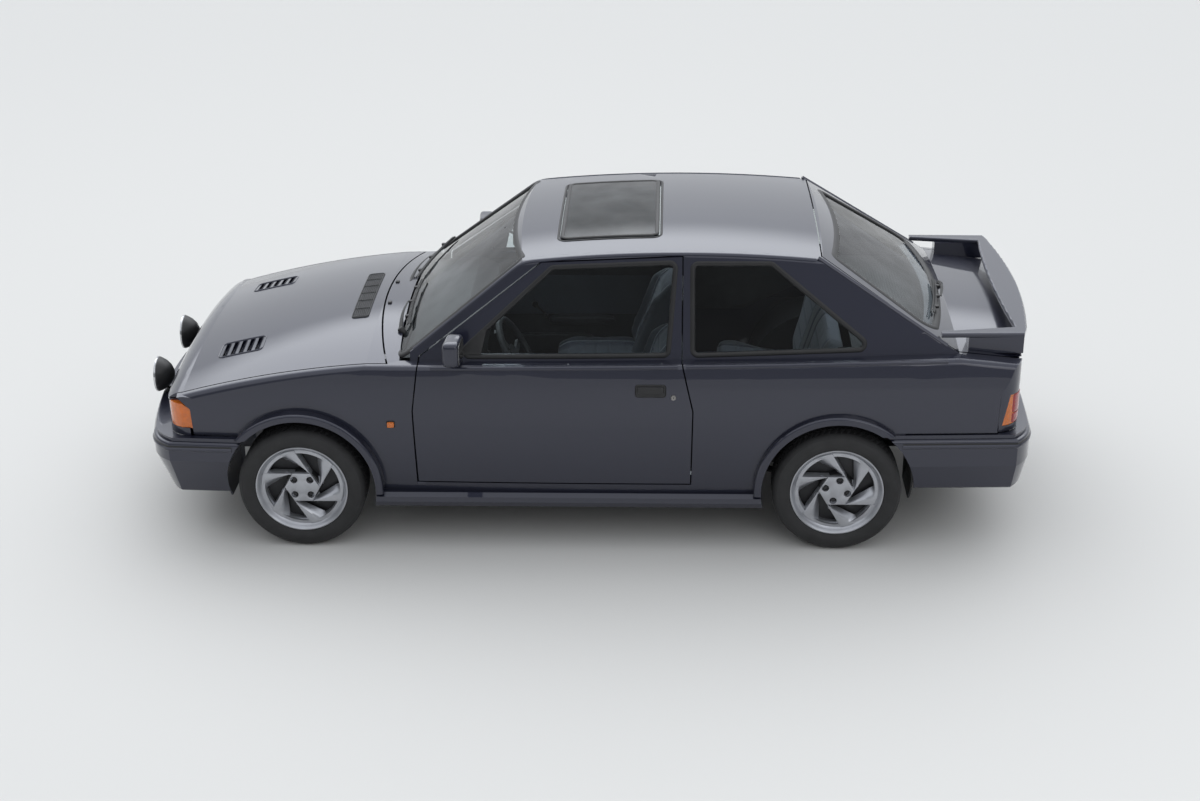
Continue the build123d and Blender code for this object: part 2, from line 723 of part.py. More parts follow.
def bumper(corners, side_x, sign, low, high, taper):
    """Hollow bumper with a rounded step near its top and a lower part that turns under."""
    with BuildPart() as shell:
        add(turned_under(corners, side_x, sign, 0, low, high - bumper_step, taper))
        outer_low = shell.faces().filter_by(Axis.Z).sort_by(Axis.Z)[0].edges()
        outer_high = shell.faces().filter_by(Axis.Z).sort_by(Axis.Z)[-1].edges()
        rounded = [edge for edge in outer_low + outer_high if abs(edge.center().X - side_x) > 20]
        fillet(rounded, bumper_round)
        add(bumper_form(corners, side_x, sign, bumper_round, high - bumper_step, high))
        add(turned_under(corners, side_x - sign * 50, sign, bumper_wall + bumper_round, low - 10, high - bumper_wall, taper),
            mode=Mode.SUBTRACT)
        add(bumper_form(corners, side_x - sign * 50, sign, bumper_ledge, low - 10, high + 10), mode=Mode.SUBTRACT)
    return shell.part


with BuildPart() as front_bumper:
    add(bumper(front_bumper_plan, front_x + 150, 1, bumper_low_z, bumper_top_z, bumper_taper[0]))
    add(joined(wheel_drum(front_x, arch_radius + 4, -1000, 1000, flare_centre_z),
               outer_lower), mode=Mode.SUBTRACT)
pieces["front_bumper"] = front_bumper

with BuildPart() as rear_bumper:
    add(bumper(rear_bumper_plan, rear_x - 150, -1, bumper_low_z + 60, bumper_rear_top_z, bumper_taper[1]))
    add(wheel_drum(rear_x, arch_radius + 4, -1000, 1000, flare_centre_z), mode=Mode.SUBTRACT)
    add(outer_lower, mode=Mode.SUBTRACT)
pieces["rear_bumper"] = rear_bumper

skirt_section = ((700, floor_z - 4), (flare_half_width - 14, floor_z + 6), (flare_half_width - 3, 236),
                 (flare_half_width - 8, 258), (half_width - 6, sill_z - 40), (700, sill_z - 40))
with BuildPart() as skirt_left:
    add(end_prism(skirt_section, rear_x + 200, front_x - 200))
    add(outer_lower, mode=Mode.SUBTRACT)
    for x in (front_x, rear_x):
        add(wheel_drum(x, arch_radius, 0, 1000, flare_centre_z), mode=Mode.SUBTRACT)
with BuildPart() as skirts:
    add(skirt_left.part)
    add(mirrored(skirt_left.part))
pieces["skirts"] = skirts

# Tail spoiler, driving lamps and mirrors
with BuildPart() as blade:
    with BuildSketch(Plane.XY.offset(spoiler_z)):
        with BuildLine():
            outer = ((spoiler_tip_x, 646), (rear_x - 800, 640), (spoiler_rear_x[1], 556))
            inner = ((spoiler_tip_x, 610), (spoiler_inner_x - 20, 560))
            for side in (1, -1):
                Polyline(*[(x, side * y) for x, y in outer])
                Polyline(*[(x, side * y) for x, y in inner])
                Line((outer[0][0], side * outer[0][1]), (inner[0][0], side * inner[0][1]))
            ThreePointArc((outer[2][0], 556), (spoiler_rear_x[0], 0), (outer[2][0], -556))
            ThreePointArc((inner[1][0], 560), (spoiler_inner_x, 0), (inner[1][0], -560))
        make_face()
    extrude(amount=spoiler_thick)
    edges = blade.faces().sort_by(Axis.Z)[-1].edges() + blade.faces().sort_by(Axis.Z)[0].edges()
    fillet([edge for edge in edges if edge.length > 200], 8)
with BuildPart() as spoiler:
    add(blade.part)
    for side in (1, -1):
        y = sorted((side * 566, side * 640))
        add(block((rear_x - 800, rear_x - 560), y, (900, spoiler_z + 6)))
    add(joined(outer_lower, outer_upper), mode=Mode.SUBTRACT)
pieces["spoiler"] = spoiler

with BuildPart() as driving_lamp:
    with BuildSketch(Plane.XZ):
        with BuildLine():
            Polyline((lamp_face_x - 8, 0), (lamp_face_x - 8, lamp_radius - 12), (lamp_face_x, lamp_radius - 12),
                     (lamp_face_x, lamp_radius), (lamp_face_x - 22, lamp_radius))
            ThreePointArc((lamp_face_x - 22, lamp_radius), (lamp_face_x - 56, lamp_radius * 0.72), (lamp_face_x - 74, 0))
            Line((lamp_face_x - 74, 0), (lamp_face_x - 8, 0))
        make_face()
    revolve(axis=Axis.X)
with BuildPart() as lamp_foot:
    add(block((lamp_face_x - 56, lamp_face_x - 30), (-16, 16), (-(lamp_centre_z - bumper_top_z), -lamp_radius + 12)))
with BuildPart() as driving_lamps:
    for side in (1, -1):
        with Locations((0, side * 259, lamp_centre_z)):
            add(driving_lamp.part)
            add(lamp_foot.part)
pieces["driving_lamps"] = driving_lamps

with BuildPart() as mirror_left:
    add(plan_prism(((front_x - 752, 752), (front_x - 676, 752), (front_x - 690, 896), (front_x - 752, 896)), 916, 1034))
    fillet(mirror_left.edges(), 16)
    add(plan_prism(((front_x - 742, 670), (front_x - 676, 670), (front_x - 690, 790), (front_x - 742, 790)), 884, 932, 8))
    add(body_outer, mode=Mode.SUBTRACT)
pieces["mirror_left"] = mirror_left

# Floor, bulkhead and wheel houses
floor_line = (
    (front_x - 446, 850), (front_x - 446, 330), (front_x - 620, floor_z + 11), (rear_x + 560, floor_z + 11),
    (rear_x + 520, 330), (rear_x + 300, 410), (rear_x - 360, 410), (rear_x - 400, 330), (rear_x - 760, 330),
    (rear_x - 760, bumper_rear_top_z),
)
floor_half_width = 640
wheelhouse_radius = arch_radius + 10
steered_house_radius = arch_radius + 20
house_wall = 8
rear_house_y = 470
front_house_y = 440
with BuildPart() as floor_strip:
    with BuildSketch(Plane.XZ.offset(-floor_half_width)):
        with BuildLine() as strip_line:
            Polyline(*floor_line)
        trace(strip_line.line, line_width=floor_plate)
    extrude(amount=2 * floor_half_width)


def wheelhouse(x, radius, inner_y, low_z, limit):
    """Half drum over a wheel with its inner wall."""
    with BuildPart() as house:
        add(wheel_drum(x, radius, inner_y, 1000, flare_centre_z))
        add(wheel_drum(x, radius - house_wall, inner_y + house_wall, 1001, flare_centre_z), mode=Mode.SUBTRACT)
        add(limit, mode=Mode.INTERSECT)
        add(block((x - 500, x + 500), (0, 1000), (0, low_z)), mode=Mode.SUBTRACT)
    return house.part


rear_house = without(wheelhouse(rear_x, wheelhouse_radius, rear_house_y, floor_z, wall_cavity),
                     block((rear_x - 330, rear_x + 330), (0, rear_house_y + house_wall), (0, 399)),
                     block((rear_x + 300, rear_x + 400), (floor_half_width, 1000), (0, sill_z)))
front_house = without(wheelhouse(front_x, steered_house_radius, front_house_y, floor_z, skin_cavity),
                      block((front_x - 330, front_x + 330), (0, front_house_y + house_wall), (0, rail_z[0] - 1)))
with BuildPart() as floor_pan:
    add(floor_strip.part)
    add(block((rear_x + 540, front_x - 560), (-120, 120), (floor_z, 330)))
    add(block((rear_x + 540, front_x - 560), (-98, 98), (floor_z - 10, 308)), mode=Mode.SUBTRACT)
    for side in (1, -1):
        drum = wheel_drum(rear_x, wheelhouse_radius, rear_house_y, 1000, flare_centre_z)
        add(drum if side == 1 else mirrored(drum), mode=Mode.SUBTRACT)
        add(rear_house if side == 1 else mirrored(rear_house))
pieces["floor_pan"] = floor_pan

# The knuckle turns on the inclined line of its strut
strut_top = (front_x, 515, 745)
ball_joint = (front_x, 664, 178)


def rod(start, end, radius):
    """Round bar between two points."""
    first, last = Vector(start), Vector(end)
    with BuildPart() as bar:
        with BuildSketch(Plane(origin=first, z_dir=last - first)):
            Circle(radius)
        extrude(amount=(last - first).length)
    return bar.part


def part_way(start, end, share):
    return tuple(a + (b - a) * share for a, b in zip(start, end))


with BuildPart() as tower:
    add(rod(part_way(ball_joint, strut_top, 0.74), part_way(ball_joint, strut_top, 1.02), 62))
    add(rod(part_way(ball_joint, strut_top, 0.5), strut_top, 54), mode=Mode.SUBTRACT)
strut_tower = tower.part
front_house = without(front_house, rod(part_way(ball_joint, strut_top, 0.3), strut_top, 54))


with BuildPart() as engine_bay_frame:
    for side in (1, -1):
        add(front_house if side == 1 else mirrored(front_house))
        add(strut_tower if side == 1 else mirrored(strut_tower))
        y = sorted((side * rail_inner_y, side * front_house_y))
        add(block((front_x - 435, front_x + 560), y, rail_z))
    add(block((front_x + 520, front_x + 560), (-600, 600), (260, 530)))
    with BuildSketch(Plane.XZ.offset(-tow_eye_y)):
        Polygon((front_x + 556, 262), (front_x + 556, 330), (tow_eye[0] + 28, 240), (tow_eye[0] + 28, tow_eye[1] - 24),
                (tow_eye[0] - 28, tow_eye[1] - 24), align=None)
        with Locations(tow_eye):
            Circle(tow_eye_radius, mode=Mode.SUBTRACT)
    extrude(amount=tow_eye_thick)
pieces["engine_bay_frame"] = engine_bay_frame

with BuildPart() as engine:
    add(block((front_x - 180, front_x + 260), (-340, 320), (268, 760)))
    chamfer(engine.edges().filter_by(Axis.Y), 40)
    add(block((front_x + 20, front_x + 90), (-rail_inner_y, rail_inner_y), (rail_z[0] + 30, rail_z[1] - 10)))
pieces["engine"] = engine

# Wheels: one alloy casting with six swept blades, the same on both sides
def around(radius, angle):
    return radius * cos(radians(angle)), radius * sin(radians(angle))


with BuildPart() as window:
    with BuildSketch(Plane.XZ.offset(-hub_y - 40)):
        with BuildLine():
            inner, lead, trail = around(window_inner, 2), around(window_outer, 8), around(window_outer, 48)
            ThreePointArc(lead, around(window_outer, 28), trail)
            ThreePointArc(trail, around((window_inner + window_outer) / 2, 27), inner)
            Line(inner, lead)
        make_face()
    extrude(amount=120)
    fillet(window.edges().filter_by(Axis.Y), 7)
with BuildPart() as alloy:
    with BuildSketch(Plane.XY):
        with BuildLine():
            Polyline((hub_bore, hub_y - 52), (hub_radius, hub_y - 52), (hub_radius + 12, hub_y - 26),
                     (rim_radius - 34, hub_y - 24), (rim_radius - 26, hub_y + 8), (hub_radius + 24, hub_y),
                     (hub_radius - 10, hub_y + 4), (hub_bore, hub_y + 4), close=True)
        make_face()
    revolve(axis=Axis.Y)
    for step in range(blade_count):
        add(window.part.rotate(Axis.Y, step * 360 / blade_count), mode=Mode.SUBTRACT)
    with BuildSketch(Plane.XY):
        with BuildLine():
            Polyline((rim_radius - 20, -rim_half), (rim_radius, -rim_half), (rim_radius, -rim_half + 9),
                     (rim_radius - 16, -rim_half + 14), (rim_radius - 28, -20), (rim_radius - 28, 30),
                     (rim_radius - 16, rim_half - 14), (rim_radius, rim_half - 9), (rim_radius, rim_half),
                     (rim_radius - 12, rim_half), (rim_radius - 26, rim_half - 16), (rim_radius - 38, 30),
                     (rim_radius - 38, -20), close=True)
        make_face()
    revolve(axis=Axis.Y)
    with BuildSketch(Plane.XY):
        with BuildLine():
            Polyline((hub_bore, hub_y - 66), (disc_radius, hub_y - 66), (disc_radius, hub_y - 54),
                     (hub_radius, hub_y - 54), (hub_radius, hub_y - 50), (hub_bore, hub_y - 50), close=True)
        make_face()
    revolve(axis=Axis.Y)

tyre_half = tyre_width / 2
tyre_bore = rim_radius - 16 + running_gap
with BuildPart() as tyre:
    with BuildSketch(Plane.XY):
        with BuildLine():
            Polyline((rim_radius + 1, -rim_half + 10), (tyre_bore, -rim_half + 14), (tyre_bore, rim_half - 14),
                     (rim_radius + 1, rim_half - 10), (tyre_radius - 32, tyre_half), (tyre_radius, tyre_half - 22),
                     (tyre_radius, 22 - tyre_half), (tyre_radius - 32, -tyre_half), close=True)
        make_face()
    revolve(axis=Axis.Y)

wheel_places = {"front_left": (front_x, 1), "front_right": (front_x, -1),
                "rear_left": (rear_x, 1), "rear_right": (rear_x, -1)}
for place, (x, side) in wheel_places.items():
    turn = 0 if side == 1 else 180
    where = Location((x, side * track / 2, tyre_radius), (0, 0, turn))
    with BuildPart() as placed_wheel:
        add(alloy.part.moved(where))
    with BuildPart() as placed_tyre:
        add(tyre.part.moved(where))
    pieces["wheel_" + place] = placed_wheel
    pieces["tyre_" + place] = placed_tyre

# Front suspension: the knuckle turns on the inclined line of its strut
wheel_y = track / 2
stub_end_y = wheel_y + hub_y - 10
knuckle_face_y = wheel_y + hub_y - 66 - 6


with BuildPart() as knuckle_left:
    add(rod((front_x, knuckle_face_y - 40, tyre_radius), (front_x, knuckle_face_y, tyre_radius), 52))
    add(rod((front_x, knuckle_face_y - 10, tyre_radius), (front_x, stub_end_y, tyre_radius), hub_bore - running_gap))
    add(rod(part_way(ball_joint, strut_top, 0.06), part_way(ball_joint, strut_top, 0.2), 20))
    add(rod(part_way(ball_joint, strut_top, 0.2), part_way(ball_joint, strut_top, 0.62), 25))
    add(rod(part_way(ball_joint, strut_top, 0.6), part_way(ball_joint, strut_top, 0.9995), 11))
    add(block((front_x - 30, front_x + 30), (592, 650), (200, 330)))
    add(rod((front_x - 20, 620, 250), (front_x - 120, 600, 240), 11))
pieces["knuckle_left"] = knuckle_left

with BuildPart() as front_suspension:
    for side in (1, -1):
        with BuildPart() as arm:
            add(plan_prism(((front_x - 150, 300), (front_x + 60, 300), (front_x + 26, 660), (front_x - 26, 660)), 150, 172))
            add(block((front_x - 170, front_x - 110), (270, 360), (150, 260)))
            add(block((front_x + 20, front_x + 80), (270, 360), (150, 260)))
            add(rod((front_x, 664, 150), (front_x, 664, 186), 17))
        add(arm.part if side == 1 else mirrored(arm.part))
    for x_range in ((front_x - 180, front_x - 100), (front_x + 20, front_x + 80)):
        add(block(x_range, (-430, 430), (190, 250)))
        for y_range in ((-430, -386), (386, 430)):
            add(block(x_range, y_range, (200, rail_z[0])))
pieces["front_suspension"] = front_suspension

# Rear suspension: arms and tie bars to fixed hub carriers
carrier_y = (knuckle_face_y - 34, knuckle_face_y)
with BuildPart() as rear_suspension:
    for side in (1, -1):
        with BuildPart() as corner:
            add(rod((rear_x, carrier_y[0], tyre_radius), (rear_x, carrier_y[1], tyre_radius), 50))
            add(rod((rear_x, carrier_y[1] - 10, tyre_radius), (rear_x, stub_end_y, tyre_radius), hub_bore - running_gap))
            add(rod((rear_x, 300, 250), (rear_x, carrier_y[0] + 14, 250), 16))
            add(rod((rear_x, carrier_y[0] + 10, 262), (rear_x + 420, 385, 240), 14))
            add(rod((rear_x, carrier_y[0] + 9, 250), (rear_x, 520, 620), 22))
            add(block((rear_x + 380, rear_x + 440), (365, 405), (226, 362)))
        add(corner.part if side == 1 else mirrored(corner.part))
    add(block((rear_x - 36, rear_x + 36), (-330, 330), (226, 400)))
    add(floor_pan.part, mode=Mode.SUBTRACT)
pieces["rear_suspension"] = rear_suspension

with BuildPart() as fuel_tank:
    add(block((rear_x + 90, rear_x + 290), (-380, 380), (232, 399)))
    fillet([edge for edge in fuel_tank.edges().filter_by(Axis.Y) if edge.center().Z < 300], 30)
pieces["fuel_tank"] = fuel_tank

exhaust_radius = 24
exhaust_route = (
    (front_x - 180, -60, 330), (front_x - 260, -60, 330), (front_x - 400, -60, 172), (rear_x + 60, -60, 172), (rear_x - 130, -60, 190),
    (rear_x - 300, -220, 230), (rear_x - 560, -220, 250),
)
with BuildPart() as exhaust:
    with BuildLine() as route:
        FilletPolyline(*exhaust_route, radius=40)
    with BuildSketch(Plane(origin=route.line @ 0, z_dir=route.line % 0)):
        Circle(exhaust_radius)
    sweep()
    add(block((rear_x - 640, rear_x - 440), (-480, -120), (190, 312)))
    fillet([edge for edge in exhaust.edges().filter_by(Axis.Y) if edge.length > 300], 40)
    add(rod((rear_x - 620, -440, 240), (tail_x + 6, -440, 232), 25))
pieces["exhaust"] = exhaust

# Interior
seat_y = 365
with BuildPart() as front_seat:
    with BuildSketch(Plane.YZ.offset(seat_x[1])) as cushion:
        with BuildLine():
            Polyline((-250, 330), (-250, 470), (-215, 486), (-170, 446), (170, 446), (215, 486), (250, 470), (250, 330),
                     close=True)
        make_face()
    extrude(amount=seat_x[0] - seat_x[1])
    with BuildSketch(Plane(origin=(seat_x[1] + 20, 0, 360), x_dir=(0, 1, 0),
                           z_dir=(-sin(radians(seat_rake)), 0, cos(radians(seat_rake))))):
        with BuildLine():
            Polyline((-240, -90), (-205, -130), (-160, -72), (160, -72), (205, -130), (240, -90), (240, 30), (-240, 30),
                     close=True)
        make_face()
    extrude(amount=back_height)
    with BuildSketch(Plane(origin=(seat_x[1] + 20, 0, 360), x_dir=(0, 1, 0),
                           z_dir=(-sin(radians(seat_rake)), 0, cos(radians(seat_rake)))).offset(back_height)):
        with Locations((0, -28)):
            RectangleRounded(250, 86, 30)
    extrude(amount=165)
for name, side in (("seat_left", 1), ("seat_right", -1)):
    with BuildPart() as placed_seat:
        add(front_seat.part.moved(Location((0, side * seat_y, 0))))
        add(block((seat_x[1] + 60, seat_x[0] - 60), sorted((side * (seat_y - 190), side * (seat_y + 190))), (227, 330)))
    pieces[name] = placed_seat

with BuildPart() as rear_seat:
    add(side_prism(((rear_x + 560, 354), (rear_x + 520, 510), (rear_x + 130, 470), (rear_x + 130, 424),
                    (rear_x + 300, 424), (rear_x + 500, 345)), -rear_seat_half, rear_seat_half))
    add(side_prism(((rear_x + 170, 470), (rear_x + 60, 470), (rear_x - 60, 880), (rear_x + 40, 890)),
                   -rear_seat_half, rear_seat_half))
    add(floor_pan.part, mode=Mode.SUBTRACT)
    for side in (1, -1):
        drum = wheel_drum(rear_x, wheelhouse_radius + 2, rear_house_y - 2, 1000, flare_centre_z)
        add(drum if side == 1 else mirrored(drum), mode=Mode.SUBTRACT)
pieces["rear_seat"] = rear_seat

with BuildPart() as parcel_shelf:
    add(common(block((rear_x - 470, rear_x - 66), (-700, 700), (866, 880)), cabin))
pieces["parcel_shelf"] = parcel_shelf

steering_place = Location((steering_x, seat_y, steering_centre_z), (0, -steering_rake, 0))
with BuildPart() as column_bore:
    with BuildSketch(Plane.XY.offset(-column_length - 5)):
        Circle(column_radius + running_gap)
    extrude(amount=column_length)
with BuildPart() as dashboard:
    add(side_prism(((front_x - 460, 860), (front_x - 700, 880), (front_x - 800, 840), (front_x - 790, 700),
                    (front_x - 700, 600), (front_x - 460, 600)), -dash_half, dash_half))
    fillet(dashboard.edges().filter_by(Axis.Y), 14)
    add(side_prism(((front_x - 780, 840), (front_x - 760, 905), (front_x - 700, 915), (front_x - 640, 860)), 230, 510))
    add(block((front_x - 1300, front_x - 690), (-110, 110), (330 + running_gap, 420)))
    add(block((front_x - 770, front_x - 690), (-110, 110), (400, 640)))
    add(rod((front_x - 1020, 0, 410), (front_x - 1040, 0, 560), 10))
    add(rod((front_x - 1036, 0, 540), (front_x - 1042, 0, 590), 24))
    add(column_bore.part.moved(steering_place), mode=Mode.SUBTRACT)
pieces["dashboard"] = dashboard

with BuildPart() as steering_wheel:
    with BuildSketch(Plane.XZ):
        with Locations((steering_rim_radius, 0)):
            Circle(15)
    revolve(axis=Axis.Z)
    with BuildSketch(Plane.XY.offset(-40)):
        Circle(60)
    extrude(amount=30)
    for angle in (20, 160, 270):
        with BuildSketch(Plane.XY.offset(-26)):
            with Locations(Rot(0, 0, angle) * Location((105, 0))):
                Rectangle(150, 26, rotation=0)
        extrude(amount=14)
    with BuildSketch(Plane.XY.offset(-column_length)):
        Circle(column_radius)
    extrude(amount=column_length - 30)
with BuildPart() as placed_steering:
    add(steering_wheel.part.moved(steering_place))
pieces["steering_wheel"] = placed_steering

# Wipers lie along the foot of the glass
def screen_point(y, z, stand=0):
    """A point standing off the windscreen towards the nose."""
    run, rise = windscreen_head[0] - windscreen_foot[0], windscreen_head[1] - windscreen_foot[1]
    return windscreen_foot[0] + (z - windscreen_foot[1]) * run / rise - bulge(windscreen_bow, abs(y)) + stand, y, z


with BuildPart() as wipers:
    for pivot_y in wiper_pivots:
        add(rod(screen_point(pivot_y, 880, 22), screen_point(pivot_y, 936, 22), 10))
        add(rod(screen_point(pivot_y, 930, 22), screen_point(pivot_y - 240, 968, 22), 6))
        add(rod(screen_point(pivot_y - 10, 938, 16), screen_point(pivot_y - 470, 974, 16), 6))
    add(body_outer, mode=Mode.SUBTRACT)
pieces["wipers"] = wipers

for name in ("side_frame", "wing", "door", "door_glass", "quarter_glass", "mirror", "knuckle"):
    with BuildPart() as right_piece:
        add(mirrored(pieces[name + "_left"].part))
    pieces[name + "_right"] = right_piece

os.makedirs("parts", exist_ok=True)
for name, piece in pieces.items():
    piece.part.label = name
    export_step(piece.part, f"parts/{name}.step")
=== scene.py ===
# %% [markdown]
# A three-door sports hatchback, dressed in Blender
#
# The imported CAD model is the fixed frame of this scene: body panels, glass, seats, wheels and
# running gear already stand at their real size. This file gives each of them its finish and
# adds the pieces that only have to look right, such as window rubbers, tyre tread, lamp lenses
# and padded seats. Every new shape is a surface worked out with numpy, in metres, in the CAD's
# own frame: +X to the nose, +Y to the car's left, +Z up, with the origin on the ground.

# %% Load the frame
import math

import bpy
import bmesh
import numpy as np
from mathutils import Matrix, Vector
from mathutils.geometry import delaunay_2d_cdt


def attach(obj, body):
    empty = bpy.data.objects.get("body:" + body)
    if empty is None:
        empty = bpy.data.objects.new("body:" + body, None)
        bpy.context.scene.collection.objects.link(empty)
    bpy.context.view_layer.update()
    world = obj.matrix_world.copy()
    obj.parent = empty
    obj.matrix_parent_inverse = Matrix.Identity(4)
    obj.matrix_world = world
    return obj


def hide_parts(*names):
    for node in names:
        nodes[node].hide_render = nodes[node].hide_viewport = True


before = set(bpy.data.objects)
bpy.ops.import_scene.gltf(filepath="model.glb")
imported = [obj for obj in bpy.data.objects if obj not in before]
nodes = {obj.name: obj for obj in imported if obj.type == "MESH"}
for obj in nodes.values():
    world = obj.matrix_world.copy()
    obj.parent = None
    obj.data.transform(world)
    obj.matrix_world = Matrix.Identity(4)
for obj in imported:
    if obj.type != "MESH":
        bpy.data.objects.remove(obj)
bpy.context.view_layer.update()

# %% [markdown]
# The body's own surfaces, in words
#
# Trim has to lie on the bodywork, so the same surfaces that the CAD uses are repeated here as
# formulas. The side of the body is a circle in height turned about a far-off upright axis, the
# side glass is a leaning line turned about the same axis, the roof is a circle along the car
# turned about a low axis, and each screen is a raked plane bowed in plan.

# %% Surfaces of the body
FRONT_X, REAR_X = 1.2625, -1.1375
PLAN_X, PLAN_RADIUS = FRONT_X - 1.5, 40.0
SIDE_Y, SIDE_Z = 0.794, 0.6
BELT_Y, BELT_Z, EAVES_Y, EAVES_Z = 0.705, 0.880, 0.577, 1.335
ROOF_X, ROOF_Z, ROOF_RADIUS, ROOF_CROWN = FRONT_X - 1.692, 1.367, 6.7, 5.3
CROWN = 3.3
SCREEN_RUN, SCREEN_RISE, SCREEN_BOW = 546, 400, 2.4
HATCH_RUN, HATCH_RISE, HATCH_BOW = 593, 375, 2.7
SCREEN_RAKE, HATCH_RAKE = math.atan2(SCREEN_RISE, SCREEN_RUN), math.atan2(HATCH_RISE, HATCH_RUN)


def fall(radius, distance):
    """How far a circle falls from its tangent at a distance: r - sqrt(r^2 - d^2)."""
    distance = np.asarray(distance, float)
    return radius - np.sqrt(radius ** 2 - distance ** 2)


def side_y(x, z, out=0.0):
    """Half width of the lower body at x, z: an arc of 2.55 m below 0.6 m, of 1.1 m above, and 40 m in plan."""
    z = np.asarray(z, float)
    tuck = np.where(z < SIDE_Z, fall(2.55, np.minimum(z - SIDE_Z, 0)), fall(1.1, np.clip(z - SIDE_Z, 0, 0.6)))
    return SIDE_Y - tuck - fall(PLAN_RADIUS, np.asarray(x, float) - PLAN_X) + out


def glass_y(x, z, out=0.0):
    """Half width of the greenhouse at x, z: a line leaning 128 mm inwards over 455 mm of height."""
    lean = (EAVES_Y - BELT_Y) / (EAVES_Z - BELT_Z)
    line = BELT_Y + lean * (np.asarray(z, float) - BELT_Z)
    return line - fall(PLAN_RADIUS, np.asarray(x, float) - PLAN_X) + out


def roof_z(x, y, out=0.0):
    """Height of the roof: a 6.7 m arc along the car whose every point turns about an axis 5.3 m below the peak."""
    along = ROOF_CROWN - fall(ROOF_RADIUS, np.asarray(x, float) - ROOF_X) + out
    return np.sqrt(along ** 2 - np.asarray(y, float) ** 2) - (ROOF_CROWN - ROOF_Z)


def arc_through(a, b, c):
    """Centre and radius of the circle through three points."""
    (ax, ay), (bx, by), (cx, cy) = a, b, c
    d = 2 * (ax * (by - cy) + bx * (cy - ay) + cx * (ay - by))
    ux = ((ax * ax + ay * ay) * (by - cy) + (bx * bx + by * by) * (cy - ay) + (cx * cx + cy * cy) * (ay - by)) / d
    uy = ((ax * ax + ay * ay) * (cx - bx) + (bx * bx + by * by) * (ax - cx) + (cx * cx + cy * cy) * (bx - ax)) / d
    return ux, uy, math.hypot(ax - ux, ay - uy)


BONNET_ARC = arc_through((FRONT_X - 0.315, 0.930), (FRONT_X + 0.303, 0.835), (FRONT_X + 0.520, 0.780))
NOSE_ARC = arc_through((FRONT_X + 0.520, 0.780), (FRONT_X + 0.592, 0.748), (FRONT_X + 0.626, 0.690))


def top_z(x, y, out=0.0):
    """Height of the bonnet and the tail deck: a line down the middle turned about an axis 3.3 m under the ground."""
    x = np.asarray(x, float)
    bonnet = BONNET_ARC[1] + np.sqrt(np.maximum(BONNET_ARC[2] ** 2 - (x - BONNET_ARC[0]) ** 2, 0))
    nose = NOSE_ARC[1] + np.sqrt(np.maximum(NOSE_ARC[2] ** 2 - (x - NOSE_ARC[0]) ** 2, 0))
    waist = 0.930 + (FRONT_X - 0.315 - x) * 0.034 / 2.605
    deck = np.where(x > REAR_X - 0.520, waist, 0.964 + (x - (REAR_X - 0.520)) * (0.964 - 0.934) / 0.283)
    middle = np.where(x > FRONT_X + 0.520, nose, np.where(x > FRONT_X - 0.315, bonnet, deck))
    return np.sqrt((CROWN + middle + out) ** 2 - np.asarray(y, float) ** 2) - CROWN


def screen_x(y, z, out=0.0):
    """The windscreen: a plane raked 546 mm back over 400 mm of height, bowed to a 2.4 m radius in plan."""
    run = (np.asarray(z, float) - 0.912) * SCREEN_RUN / SCREEN_RISE
    return FRONT_X - 0.408 - run - fall(SCREEN_BOW, y) + out / math.sin(SCREEN_RAKE)


def hatch_x(y, z, out=0.0):
    """The tailgate glass: a plane raked 593 mm forward over 375 mm of height, bowed to 2.7 m in plan."""
    run = (np.asarray(z, float) - 0.965) * HATCH_RUN / HATCH_RISE
    return REAR_X - 0.517 + run + fall(HATCH_BOW, y) - out / math.sin(HATCH_RAKE)


# %% [markdown]
# Making meshes
#
# Three helpers make nearly every piece. A grid turns a table of points into quads. A sweep
# carries a small profile along a path, with one side of the profile always facing out of the
# body, and that one call makes rubbers, mouldings, pipes and slats. A lathe turns a profile
# about the wheel's axle.

# %% Mesh helpers
SIDES = ((1, "left"), (-1, "right"))


def stacked(*parts):
    """Coordinates joined into points; a single number is repeated to fit the others."""
    return np.stack(np.broadcast_arrays(*parts), axis=-1)


def put_mesh(name, points, faces, smooth=True, sharp=0.7):
    """Puts arrays of points and faces into a new object, its normals pointing outwards."""
    mesh = bpy.data.meshes.new(name)
    mesh.from_pydata(np.asarray(points, float).reshape(-1, 3).tolist(), [],
                     [list(map(int, f)) for f in faces])
    work = bmesh.new()
    work.from_mesh(mesh)
    bmesh.ops.remove_doubles(work, verts=work.verts, dist=1e-6)
    bmesh.ops.recalc_face_normals(work, faces=work.faces)
    work.to_mesh(mesh)
    work.free()
    if smooth:
        mesh.shade_smooth()
        mesh.set_sharp_from_angle(angle=sharp)
    piece = bpy.data.objects.new(name, mesh)
    bpy.context.scene.collection.objects.link(piece)
    return piece


def grid_faces(rows, columns, wrap_rows=False, wrap_columns=False):
    """Quads of a grid of rows by columns, closed round in either direction if asked."""
    i = np.arange(rows if wrap_rows else rows - 1)[:, None]
    j = np.arange(columns if wrap_columns else columns - 1)[None, :]
    a = i * columns + j
    b = i * columns + (j + 1) % columns
    c = ((i + 1) % rows) * columns + (j + 1) % columns
    d = ((i + 1) % rows) * columns + j
    return np.stack([a, b, c, d], axis=-1).reshape(-1, 4)


def put_grid(name, points, wrap_rows=False, wrap_columns=False, **finish):
    """A surface from a table of points, rows by columns by 3."""
    points = np.asarray(points, float)
    rows, columns = points.shape[:2]
    return put_mesh(name, points, grid_faces(rows, columns, wrap_rows, wrap_columns), **finish)


